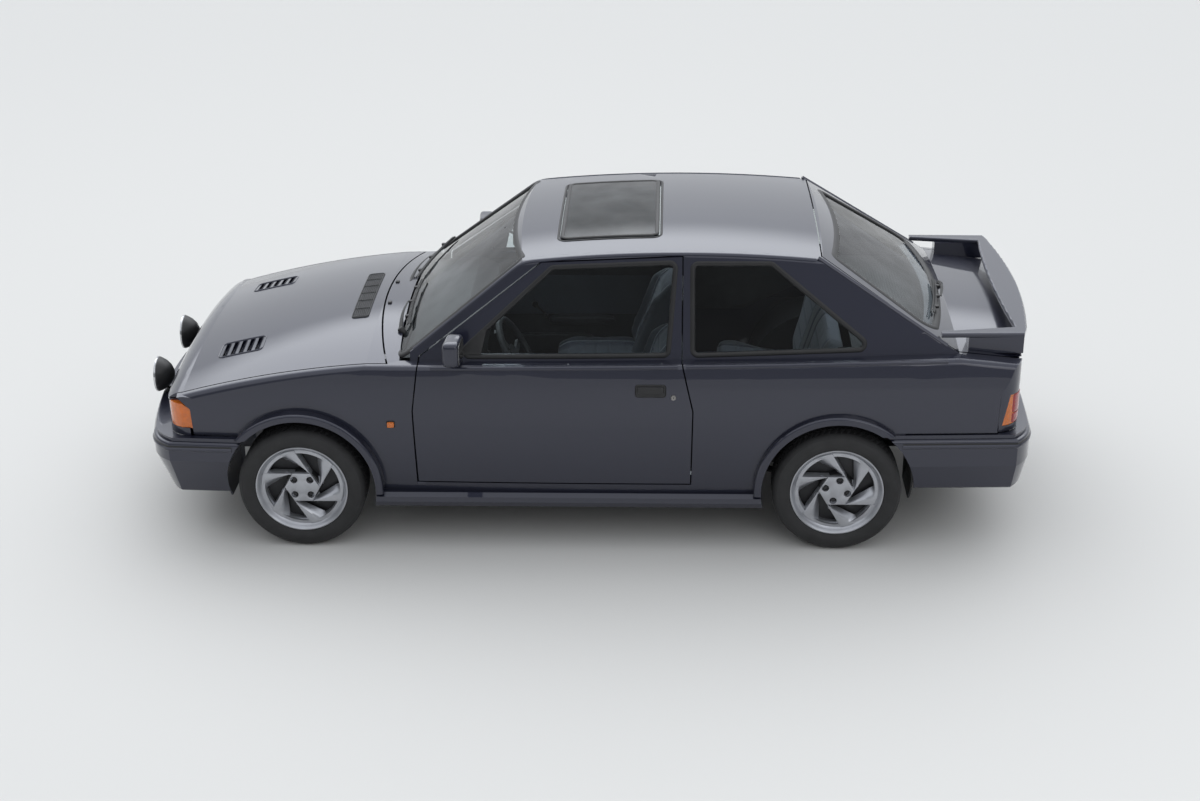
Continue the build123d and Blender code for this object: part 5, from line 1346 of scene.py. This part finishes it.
# %% Nose and tail trim
TUCK = math.tan(math.radians(20))
on_chin = against(lambda y, z, out: NOSE_X - fall(NOSE_BOW, y) - np.maximum(0.420 - z, 0) * TUCK + out)
# The intake's pad is painted shade: a flat black rubber sheet stands where the dark inside of an opening would be,
# behind the rim and four slats.
outline = box_outline((-0.400, 0.400), (0.262, 0.338), 0.016)
place_piece(patch("lower_intake", outline, on_chin, -0.006, 0.0015), rubber)
rim_on("lower_intake_rim", outline, on_chin, 0.010, 0.005, black_plastic)
for step in range(4):
    line = on_chin(np.linspace(-0.395, 0.395, 30), 0.276 + step * 0.016, 0.001)
    place_piece(sweep(f"lower_intake_slat_{step}", line, (1.0, 0, 0), bead(0.006, 0.006, -0.001, 6)),
                black_plastic)
TAILGATE_LOCK = [(0.0001, 0.003), (0.009, 0.003), (0.011, 0.006), (0.015, 0.006), (0.017, 0.001),
                 (0.017, -0.004)]
base = (tail_face(0.0) - 0.001, 0.0, 0.800)
place_piece(lathe("tailgate_lock", TAILGATE_LOCK, 28, base, (-1, 0, 0)), black_plastic, "tailgate")
place_piece(patch("plate_lamp", box_outline((-0.120, 0.120), (0.764, 0.782), 0.006, 0.003), on_tail, -0.001,
                  0.016, 0.004), black_plastic, "tailgate")


# %% Body-colour fillers
FILLER_BAND = [(-0.0185, -0.010), (-0.0185, 0.0), (0.0185, 0.0), (0.0185, -0.010)]
for side, hand in SIDES:
    start = math.atan2(0.690 - NOSE_CORNER[1], corner_x(NOSE_CORNER, 0.690, 1) - NOSE_CORNER[0])
    stop = math.atan2(0.750 - NOSE_CORNER[1], FRONT_X + 0.490 - NOSE_CORNER[0])
    normals = np.array([(math.cos(a), side * math.sin(a), 0.0) for a in np.linspace(start, stop, 16)])
    path = (NOSE_CORNER[0], side * NOSE_CORNER[1], 0.5475) + normals * (NOSE_CORNER[2] - 0.001)
    place_piece(sweep("indicator_filler_" + hand, path, normals, FILLER_BAND), paint)
    outline = box_outline((0.7020, 0.7430), (0.206, 0.3125), 0.003, 0.004)
    place_piece(patch("sill_filler_" + hand, outline, on_side(side), -0.012, -0.001), paint)
    outline = rounded([(-1.430, 0.936), (-1.430, 1.004), (-1.506, 1.004), (-1.603, 0.936)], 0.004, 0.004)
    filler = patch("rear_pillar_filler_" + hand, outline, beside(glass_y, side), -0.004, -0.0004)
    place_piece(filler, paint)


# %% [markdown]
# Seats
#
# A car seat is foam under tight cloth: a flat middle with sewn channels, raised bolsters beside
# it and a light piping on the seam between them. Each pad starts as a soft box bent to its CAD
# solid's section, a little smaller than it. Air pressure in a cloth simulation then swells it
# as foam does, a cap keeps each point near its start, and one subdivision smooths the result.
# The channels are pressed in afterwards, because a remesh would wipe them out.

# %% Padded shapes
def soft_step(value, low, high):
    """0 below low, 1 above high, and a smooth rise between."""
    return smooth_step((np.asarray(value, float) - low) / (high - low))


def padded(name, points, cap, voxel=0.011):
    """Swells a closed form by pressure: remesh, 20 frames of cloth, each move capped, one subdivision."""
    pad = put_grid(name, points, wrap_columns=True)
    remesh = pad.modifiers.new("even_quads", "REMESH")
    remesh.mode, remesh.voxel_size = "VOXEL", voxel
    apply_modifiers(pad)
    cloth = pad.modifiers.new("foam", "CLOTH")
    cloth.settings.use_pressure = True
    cloth.settings.uniform_pressure_force = 4.0
    cloth.settings.effector_weights.gravity = 0.0
    cloth.point_cache.frame_start, cloth.point_cache.frame_end = 1, 20
    for number in range(1, 21):
        bpy.context.scene.frame_set(number)
    shown = pad.evaluated_get(bpy.context.evaluated_depsgraph_get())
    before, after = vertex_table(pad.data), vertex_table(shown.data)
    move = after - before
    far = np.linalg.norm(move, axis=1, keepdims=True)
    after = before + move * np.minimum(1, cap / np.maximum(far, 1e-9))
    pad.modifiers.clear()
    pad.data.vertices.foreach_set("co", after.reshape(-1))
    bpy.context.scene.frame_set(1)
    print(name, "swelled by at most", round(float(min(far.max(), cap)) * 1000, 1), "mm")
    finer = pad.modifiers.new("finer", "SUBSURF")
    finer.levels = finer.render_levels = 1
    apply_modifiers(pad)
    pad.data.shade_smooth()
    return pad


def press(pad, change, middle_test, middle=seat_cloth, side=dark_cloth):
    """Moves each point by change(points, normals) and gives the faces their two cloths."""
    table = vertex_table(pad.data)
    table += change(table, read_rows(pad.data.vertices, "normal"))
    pad.data.vertices.foreach_set("co", table.reshape(-1))
    pad.data.update()
    centres = read_rows(pad.data.polygons, "center")
    pad.data.materials.append(middle)
    pad.data.materials.append(side)
    pad.data.polygons.foreach_set("material_index", (~middle_test(centres)).astype(np.int32))


def wells(value, places, width):
    """Sum of narrow dips at the given places."""
    return sum(np.exp(-((value - at) / width) ** 2) for at in places)


SEAT_Y, OTHER_SEAT, KNOB_MOVE = 0.365, 0.730, 1.217
CUSHION_SEAM, BACK_SEAM, HEADREST_SEAM, REAR_SEAM = 0.158, 0.64, 0.075, 0.25
CHANNEL_DEPTH, CHANNEL_WIDTH = 0.0045, 0.006
BACK_FOOT = np.array((-0.2575, 0.365, 0.360))
BACK_UP, BACK_FORWARD = np.array((-0.342, 0, 0.940)), np.array((0.940, 0, 0.342))
ACROSS = np.array((0, 1.0, 0))


def back_world(across, forward, up_):
    """Seat-back coordinates to the car's."""
    return (BACK_FOOT + across[..., None] * ACROSS + forward[..., None] * BACK_FORWARD
            + up_[..., None] * BACK_UP)


def back_local(points):
    rel = points - BACK_FOOT
    return rel @ ACROSS, rel @ BACK_FORWARD, rel @ BACK_UP


def back_width(up_):
    """Half width of the seat back: wide at the hips, narrow at the waist, wide at the ribs, narrow at the neck."""
    return np.interp(up_, [0.0, 0.13, 0.28, 0.42, 0.50, 0.56], [0.218, 0.224, 0.192, 0.222, 0.196, 0.150])


# %% Front seats
box = pebble_points((0, 0, 0), (0.228, 0.236, 0.058), 0.28, 40, 64)
x, y, z = box[..., 0], box[..., 1], box[..., 2]
bolster = soft_step(np.abs(y), 0.135, 0.190) - 0.35 * soft_step(np.abs(y), 0.215, 0.240)
rise_up = soft_step(z, -0.02, 0.05)
rise_up = rise_up * (0.030 * bolster - 0.012 - 0.010 * soft_step(x, 0.12, 0.22))
cushion_points = stacked(x - 0.0375, y + SEAT_Y, z + 0.392 + rise_up)
cushion = padded("seat_cushion_left", cushion_points, 0.012)


def cushion_channels(points, normals):
    inside = soft_step(-np.abs(points[:, 1] - SEAT_Y), -0.160, -0.145)
    channels = wells(points[:, 0], (-0.16, -0.09, -0.02, 0.05, 0.12), CHANNEL_WIDTH)
    return stacked(0.0, 0.0, -CHANNEL_DEPTH * np.clip(normals[:, 2], 0, 1) * inside * channels)


press(cushion, cushion_channels, lambda c: (np.abs(c[:, 1] - SEAT_Y) < CUSHION_SEAM) & (c[:, 2] > 0.385))

box = pebble_points((0, 0, 0), (1.0, 0.046, 0.262), 0.30, 44, 64)
across, forward, upward = box[..., 0], box[..., 1], box[..., 2] + 0.285
half_width = back_width(upward)
wing = soft_step(np.abs(across), 0.62, 0.80) - 0.3 * soft_step(np.abs(across), 0.90, 1.0)
wing = wing * soft_step(upward, 0.02, 0.12) * (1 - 0.75 * soft_step(upward, 0.44, 0.54))
forward = forward + 0.020 + soft_step(forward, -0.01, 0.03) * 0.046 * wing
seat_back = padded("seat_back_left", back_world(across * half_width, forward, upward), 0.012)


def back_channels(points, normals):
    across, forward, upward = back_local(points)
    facing = np.clip(normals @ BACK_FORWARD, 0, 1)
    inside = soft_step(-np.abs(across) / back_width(upward), -0.66, -0.58)
    channels = wells(upward, (0.10, 0.17, 0.24, 0.31, 0.38, 0.45), CHANNEL_WIDTH)
    return (-CHANNEL_DEPTH * facing * inside * channels)[:, None] * BACK_FORWARD


def back_middle(centres):
    across, forward, upward = back_local(centres)
    return (np.abs(across) < BACK_SEAM * back_width(upward)) & (forward > 0.035)


press(seat_back, back_channels, back_middle)
box = pebble_points((0, 0, 0), (0.114, 0.034, 0.072), 0.42, 30, 44)
taper = 1 - 0.12 * soft_step(box[..., 2], -0.02, 0.07)
headrest_points = back_world(box[..., 0] * taper, box[..., 1] + 0.028, box[..., 2] + 0.643)
headrest = padded("headrest_left", headrest_points, 0.008)


def headrest_seams(points, normals):
    return -0.002 * wells(back_local(points)[0], (-HEADREST_SEAM, HEADREST_SEAM), 0.004)[:, None] * normals


press(headrest, headrest_seams, lambda c: np.abs(back_local(c)[0]) < HEADREST_SEAM)


# %% Piping on the seams
def landed(pad, starts, direction):
    """Points of a line dropped along a direction onto a pad, with the pad's normals there."""
    found, normals = [], []
    for start in starts:
        hit, place, normal, _ = pad.ray_cast(Vector(start), Vector(direction))
        if hit:
            found.append(tuple(place))
            normals.append(tuple(normal))
    return np.array(found), np.array(normals)


def piping(name, pad, starts, direction, radius=0.0032):
    path, normals = landed(pad, starts, direction)
    return sweep(name, soften_line(path), normals, tube(radius, 8))


cushion_pipings, back_pipings = [], []
for edge_side, word in ((1, "outer"), (-1, "inner")):
    starts = stacked(np.linspace(-0.235, 0.170, 34), SEAT_Y + edge_side * CUSHION_SEAM, 0.7)
    cushion_pipings.append(piping(f"cushion_piping_{word}_left", cushion, starts, (0, 0, -1)))
    upward = np.linspace(0.050, 0.535, 44)
    starts = back_world(edge_side * BACK_SEAM * back_width(upward), np.full(44, 0.4), upward)
    back_pipings.append(piping(f"back_piping_{word}_left", seat_back, starts, -BACK_FORWARD))


def seat_copy(piece, name, move):
    """A copy of a finished pad, moved across the car."""
    mesh = piece.data.copy()
    mesh.transform(Matrix.Translation(move))
    copy = bpy.data.objects.new(name, mesh)
    bpy.context.scene.collection.objects.link(copy)
    return copy


SEAT_RAIL = [(-0.016, -0.036), (-0.016, 0.064), (0.016, 0.064), (0.016, -0.036)]
posts = []
for number, across in enumerate((-0.055, 0.055)):
    line = [back_world(np.array(across), np.array(0.026), np.array(u)) for u in (0.520, 0.550, 0.590)]
    posts.append(pipe(f"headrest_post_{number}_left", line, 0.006))
knob_profile = [(0.0001, 0.0), (0.026, 0.0), (0.028, 0.006), (0.025, 0.018), (0.0001, 0.019)]
knob = lathe("recline_knob_left", knob_profile, 18, (-0.235, 0.600, 0.385), (0, 1, 0), smooth=False)
front_pads = [cushion, seat_back, headrest]
front_seat = [(p, None) for p in front_pads]
front_seat += [(p, piping_cloth) for p in cushion_pipings + back_pipings]
front_seat += [(p, bright_steel) for p in posts]
replaced = {"left": ["seat_left"], "right": ["seat_right"]}
for piece, material in front_seat:
    other = seat_copy(piece, piece.name.replace("left", "right"), (0, -OTHER_SEAT, 0))
    for one, hand in ((piece, "left"), (other, "right")):
        place_piece(one, material,
                    replaces=replaced[hand])
        replaced[hand] = []
for one in (knob, seat_copy(knob, "recline_knob_right", (0, -KNOB_MOVE, 0))):
    place_piece(one, dash_plastic)
for side, hand in SIDES:
    for number, y in enumerate((0.21, 0.52)):
        line = [(x, side * y, 0.268) for x in (-0.26, -0.05, 0.17)]
        place_piece(sweep(f"seat_rail_{number}_{hand}", line, (0, 0, 1.0), SEAT_RAIL), under_coat)

# %% Rear seat
box = pebble_points((0, 0, 0), (1.0, 1.0, 1.0), 0.26, 40, 90)
s, t, h = box[..., 0], box[..., 1], box[..., 2]
along = 0.345 + 0.178 * s
top = 0.458 + (along - 0.15) * 0.095
bottom = np.interp(along, [0.15, 0.32, 0.50, 0.54], [0.440, 0.440, 0.372, 0.372])
half_width = np.interp(along, [0.0, 0.335, 0.375, 1.0], [0.448, 0.448, 0.522, 0.522])
level = (top + bottom) / 2 + h * (top - bottom) / 2


def quilted(y, way, places):
    """Depth of a rear pad's seams: one down the middle, one on each side of a seat, and channels across each seat."""
    seams = 0.008 * wells(y, (0.0,), 0.010) + CHANNEL_DEPTH * wells(y, (-0.40, -0.10, 0.10, 0.40), 0.007)
    return seams + CHANNEL_DEPTH * wells(way, places, CHANNEL_WIDTH) * (np.abs(np.abs(y) - REAR_SEAM) < 0.14)


def rear_middle(centres):
    return np.abs(np.abs(centres[:, 1]) - REAR_SEAM) < 0.15


def rear_cushion_channels(points, normals):
    dip = quilted(points[:, 1], points[:, 0] - REAR_X, (0.25, 0.33, 0.41))
    return stacked(0.0, 0.0, -np.clip(normals[:, 2], 0, 1) * dip)


rear_cushion = padded("rear_cushion", stacked(REAR_X + along, t * half_width, level), 0.010, 0.012)
press(rear_cushion, rear_cushion_channels, rear_middle)
REAR_UP, REAR_FORWARD = np.array((-0.2916, 0, 0.9565)), np.array((0.9565, 0, 0.2916))
REAR_FOOT = np.array((REAR_X + 0.113, 0, 0.476))
thick, upward = s * 0.040, (h + 1) * 0.203 + 0.006
height = REAR_FOOT[2] + upward * REAR_UP[2]
half_width = np.interp(height, [0.0, 0.655, 0.700, 1.5], [0.446, 0.446, 0.520, 0.520])
rear_points = (REAR_FOOT + (t * half_width)[..., None] * ACROSS + thick[..., None] * REAR_FORWARD
               + upward[..., None] * REAR_UP)
rear_back = padded("rear_backrest", rear_points, 0.009, 0.012)


def rear_channels(points, normals):
    dip = quilted(points[:, 1], (points - REAR_FOOT) @ REAR_UP, (0.08, 0.16, 0.24, 0.32))
    return -(dip * np.clip(normals @ REAR_FORWARD, 0, 1))[:, None] * REAR_FORWARD


press(rear_back, rear_channels, rear_middle)
for pad, gone in ((rear_cushion, ["rear_seat"]), (rear_back, [])):
    place_piece(pad, None, replaces=gone)
print("pad triangles", [2 * len(p.data.polygons) for p in front_pads + [rear_cushion, rear_back]])

# %% [markdown]
# The cabin's trim
#
# Through the glass the eye finds the lining, the door cards, the carpets, the dials and a few
# levers. Each lining is a thin patch laid on the inside of its panel by the panel's own
# formula, so it can't stick out anywhere.

# %% Linings and carpets
def ring_panel(name, inner, outer, place, low, high):
    """A flat frame between two outlines with the same number of points, given a thickness."""
    rows = []
    for share, out in ((0, low), (0, high), (0.5, high), (1, high), (1, low), (0.5, low)):
        flat = inner * (1 - share) + outer * share
        rows.append(place(*flat.T, out))
    return put_grid(name, np.stack(rows), wrap_rows=True, wrap_columns=True)


def even_box(a, b, count=200):
    """A rectangle's outline with evenly spread points, starting from its middle right."""
    turn = np.linspace(0, 2 * np.pi, count, endpoint=False)
    c, s = np.cos(turn), np.sin(turn)
    scale = 1 / np.maximum(np.abs(c), np.abs(s))
    return stacked((a[0] + a[1]) / 2 + (a[1] - a[0]) / 2 * c * scale,
                   (b[0] + b[1]) / 2 + (b[1] - b[0]) / 2 * s * scale)


opening, edge = even_box((-0.375, 0.130), (-0.430, 0.430)), even_box((-0.985, 0.225), (-0.515, 0.515))
lining = ring_panel("headlining", opening, edge, on_roof, -0.032, -0.027)
place_piece(lining, headlining)


DOOR_WALL, QUARTER_WALL = 0.096, 0.060
CRANK_HUB = [(0.0001, -0.002), (0.017, -0.002), (0.016, 0.012), (0.0001, 0.014)]


def inside_of(side, wall):
    """Places a patch on the inner face of a side panel: out goes into the cabin."""
    return beside(lambda x, z, out: side_y(x, z) - wall - out, side)


for side, hand in SIDES:
    door, place = "door_" + hand, inside_of(side, DOOR_WALL)
    outline = rounded([(-0.340, 0.330), (0.600, 0.330), (0.600, 0.800), (0.520, 0.850), (-0.340, 0.850)],
                      0.030, 0.008)
    place_piece(patch("door_card_" + hand, outline, place, 0.0004, 0.005), dash_plastic, door)
    outline = box_outline((-0.300, 0.540), (0.545, 0.760), 0.030, 0.008)
    place_piece(patch("door_card_cloth_" + hand, outline, place, 0.004, 0.009, 0.004), dark_cloth, door)
    armrest_at = (0.060, side * (float(side_y(0.06, 0.52)) - 0.122), 0.520)
    place_piece(pebble("door_armrest_" + hand, armrest_at, (0.170, 0.024, 0.024), 0.5, 18, 28),
                dash_plastic, door)
    pocket_at = (0.200, side * (float(side_y(0.2, 0.40)) - 0.112), 0.395)
    place_piece(pebble("door_pocket_" + hand, pocket_at, (0.200, 0.016, 0.048), 0.35, 18, 28), dash_plastic,
                door)
    hub_at = np.array((0.300, side * (float(side_y(0.3, 0.60)) - 0.104), 0.600))
    place_piece(lathe("window_crank_hub_" + hand, CRANK_HUB, 24, hub_at, (0, -side, 0)), black_plastic, door)
    arm = [hub_at + (0, -side * 0.010, 0), hub_at + (-0.030, -side * 0.015, -0.028),
           hub_at + (-0.055, -side * 0.018, -0.052)]
    place_piece(pipe("window_crank_arm_" + hand, arm, 0.0055), black_plastic, door)
    crank_knob = pebble("window_crank_knob_" + hand, arm[-1] + (0, -side * 0.012, 0), (0.010, 0.014, 0.010),
                        0.8, 12, 16)
    place_piece(crank_knob, black_plastic, door)
    outline = rounded([(-0.760, 0.560), (-0.510, 0.560), (-0.510, 0.845), (-1.040, 0.845), (-1.040, 0.700)],
                      0.020, 0.010)
    place_piece(patch("quarter_trim_" + hand, outline, inside_of(side, QUARTER_WALL), 0.0006, 0.005),
                dash_plastic)


def floor_patch(name, a, b, z, thickness):
    """A rectangle of carpet lying at a height."""
    place = over(lambda x, y, out: z + out)
    return place_piece(patch(name, box_outline(a, b, 0.030, 0.02), place, 0.0005, thickness, 0.002), carpet)


for side, hand in SIDES:
    floor_patch("carpet_" + hand, (-0.520, 0.600), tuple(sorted((side * 0.128, side * 0.560))), 0.227, 0.006)
hit, spot, _, _ = nodes["floor_pan"].ray_cast(Vector((-1.55, 0.0, 0.80)), Vector((0, 0, -1)))
boot_floor = spot.z if hit else 0.42
print("boot floor at", round(boot_floor, 4))
floor_patch("boot_carpet", (-1.850, -1.270), (-0.430, 0.430), boot_floor, 0.007)
tunnel = [(-0.1205, 0.2310), (-0.1205, 0.3305), (0.1205, 0.3305), (0.1205, 0.2310), (0.1235, 0.2310),
          (0.1235, 0.3335), (-0.1235, 0.3335), (-0.1235, 0.2310)]
rows = np.linspace(-0.550, -0.045, 3)
table = np.stack([[(x, y, z) for y, z in tunnel] for x in rows])
faces = grid_faces(3, 8, False, True).tolist() + [list(range(8)), list(range(16, 24))[::-1]]
place_piece(put_mesh("tunnel_carpet", table, faces, smooth=False), carpet)

# %% Dashboard and controls
DASH_X = FRONT_X - 0.800
TICK = ((-0.003, -0.0005), (0.003, -0.0005), (0.003, 0.0005), (-0.003, 0.0005))
DIAL = [(0.0001, 0.0), (0.031, 0.0), (0.033, 0.003), (0.0345, 0.003), (0.0345, -0.001), (0.0001, -0.001)]
for number, y in enumerate((0.318, 0.412)):
    base = np.array((FRONT_X - 0.7795, y, 0.8775))
    place_piece(lathe(f"dial_{number}", DIAL, 40, base, (-1, 0, 0)), dial_face)
    ticks, faces = [], []
    for step in range(13):
        angle = math.radians(225 - step * 22.5)
        way = np.array((0, math.cos(angle), math.sin(angle)))
        sideways = np.array((0, -math.sin(angle), math.cos(angle)))
        corners = [base + way * 0.0265 + way * a + sideways * b for a, b in TICK]
        start = len(ticks)
        ticks += [c + (-0.0002, 0, 0) for c in corners] + [c + (-0.0006, 0, 0) for c in corners]
        faces += [[start, start + 1, start + 2, start + 3], [start + 7, start + 6, start + 5, start + 4]]
        faces += [[start + k, start + (k + 1) % 4, start + 4 + (k + 1) % 4, start + 4 + k] for k in range(4)]
    place_piece(put_mesh(f"dial_ticks_{number}", ticks, faces, smooth=False), dial_ink)
    needle = pipe(f"dial_needle_{number}", [base + (-0.0016, 0.008 * k, -0.010 * k) for k in range(3)],
                  0.0008, 6)
    place_piece(needle, amber)


# The dashboard's rear face leans forward 10 mm over its 140 mm of height.
on_dash = against(lambda y, z, out: DASH_X + 0.010 * (0.840 - z) / 0.140 - out)
for number, y in enumerate((-0.545, -0.055, 0.055, 0.575)):
    a = (y - 0.042, y + 0.042)
    rim_on(f"vent_rim_{number}", box_outline(a, (0.780, 0.822), 0.008, 0.004), on_dash, 0.006, 0.005,
           black_plastic)
    for step in range(3):
        z = 0.7905 + step * 0.0105
        line = on_dash(np.linspace(a[0] + 0.004, a[1] - 0.004, 6), z, 0.0)
        slat = sweep(f"vent_slat_{number}_{step}", line, (-1.0, 0, 0), bead(0.003, 0.005, -0.001, 5))
        place_piece(slat, black_plastic)
rim_on("glovebox_line", box_outline((-0.510, -0.180), (0.712, 0.766), 0.010, 0.006), on_dash, 0.004, 0.002,
       rubber)
on_stack = against(lambda y, z, out: FRONT_X - 0.770 - out)
radio = patch("radio_blank", box_outline((-0.085, 0.085), (0.500, 0.548), 0.005, 0.004), on_stack, 0.0002,
              0.004)
place_piece(radio, black_plastic)
for step, y in enumerate((-0.052, 0.0, 0.052)):
    knob_profile = [(0.0001, 0.0), (0.017, 0.0), (0.0155, 0.014), (0.0001, 0.015)]
    knob = lathe(f"heater_knob_{step}", knob_profile, 26, (FRONT_X - 0.7702, y, 0.592), (-1, 0, 0))
    place_piece(knob, black_plastic)
gaiter = [(0.0001, 0.0), (0.048, 0.0), (0.040, 0.012), (0.036, 0.015), (0.028, 0.030), (0.025, 0.033),
          (0.015, 0.052), (0.0001, 0.058)]
place_piece(lathe("gear_gaiter", gaiter, 32, (FRONT_X - 1.040, 0, 0.4195), (0, 0, 1)), rubber)
lever = pipe("handbrake_lever", [(-0.300, 0.0, 0.338), (-0.200, 0.0, 0.366), (-0.100, 0.0, 0.392)], 0.010)
place_piece(lever, black_plastic)
grip = pebble("handbrake_grip", (-0.115, 0.0, 0.388), (0.060, 0.015, 0.015), 0.6, 14, 20,
              (Vector((0, 1, 0)), -0.26))
place_piece(grip, dash_plastic)
for number, (y, width) in enumerate(((0.245, 0.022), (0.345, 0.026), (0.440, 0.018))):
    foot = np.array((FRONT_X - 0.675, y, 0.350))
    line = [(FRONT_X - 0.655, y, 0.668), (FRONT_X - 0.648, y, 0.500), foot]
    arm = pipe(f"pedal_arm_{number}", line, 0.006)
    place_piece(arm, under_coat)
    place_piece(pebble(f"pedal_pad_{number}", foot + (-0.006, 0, 0), (0.007, width, 0.026), 0.4, 12, 18),
                rubber)

# %% Belts, mirror and visors
for side, hand in SIDES:
    path = [(x, float(glass_y(x, z)) - gap, z) for x, gap, z in
            ((-0.462, 0.048, 1.105), (-0.466, 0.048, 1.000), (-0.472, 0.052, 0.915))]
    path = np.array(path + [(-0.480, 0.640, 0.850), (-0.485, 0.642, 0.600), (-0.485, 0.642, 0.330)])
    fine = np.linspace(0, 5, 41)
    path = soften_line(stacked(*(np.interp(fine, np.arange(6), path[:, k]) for k in range(3))), 12)
    path = path * (1, side, 1)
    webbing = [(-0.023, 0), (-0.023, 0.0013), (0.023, 0.0013), (0.023, 0)]
    place_piece(sweep("belt_" + hand, path, (0, -side * 1.0, 0.0), webbing), belt_webbing)
    anchor = pebble("belt_anchor_" + hand, path[0] + (0, side * 0.002, 0.006), (0.026, 0.009, 0.016), 0.5,
                    12, 18)
    place_piece(anchor, black_plastic)
    visor = pebble("sun_visor_" + hand, (0.160, side * 0.300, 1.3060), (0.060, 0.150, 0.007), 0.4, 16, 30,
                   (Vector((0, 1, 0)), 0.10))
    place_piece(visor, headlining)
glass_point = np.array((float(screen_x(0.0, 1.255)), 0.0, 1.255))
stalk = [glass_point + (-0.004, 0, -0.003), glass_point + (-0.030, 0, -0.020),
         glass_point + (-0.052, 0, -0.035)]
place_piece(pipe("cabin_mirror_stalk", stalk, 0.006), black_plastic)
shell = pebble("cabin_mirror_shell", glass_point + (-0.058, 0, -0.040), (0.010, 0.095, 0.026), 0.45, 16, 34)
place_piece(shell, black_plastic)
outline = box_outline((-0.088, 0.088), (glass_point[2] - 0.060, glass_point[2] - 0.020), 0.012, 0.004)
on_cabin_mirror = against(lambda y, z, out: glass_point[0] - 0.0675 - out)
place_piece(patch("cabin_mirror_glass", outline, on_cabin_mirror, -0.001, 0.0012, 0.0004), mirror_glass)


# %% Belt folds and boot linings
for side, hand in SIDES:
    for tag, body, x0, x1 in (("door", "door_" + hand, -0.425, 0.660), ("quarter", "body", -1.600, -0.462)):
        x = np.linspace(x0, x1, 40)
        z = np.full(40, 0.874)
        for _ in range(6):
            z = top_z(x, side_y(x, z))
        fold = sweep(f"belt_fold_{tag}_{hand}", stacked(x, side * side_y(x, z), z), (0, side * 0.62, 0.78),
                     bead(0.022, 0.0035, -0.008, 9))
        place_piece(fold, paint, body)
    outline = rounded([(-1.870, 0.435), (-1.470, 0.435), (-1.440, 0.490), (-1.370, 0.570), (-1.270, 0.640),
                       (-1.140, 0.660), (-1.140, 0.858), (-1.870, 0.858)], 0.006, 0.008)
    place = beside(lambda x, z, out: 0.480 - out, side)
    place_piece(patch("boot_lining_" + hand, outline, place, -0.002, 0.002, 0.001), carpet)
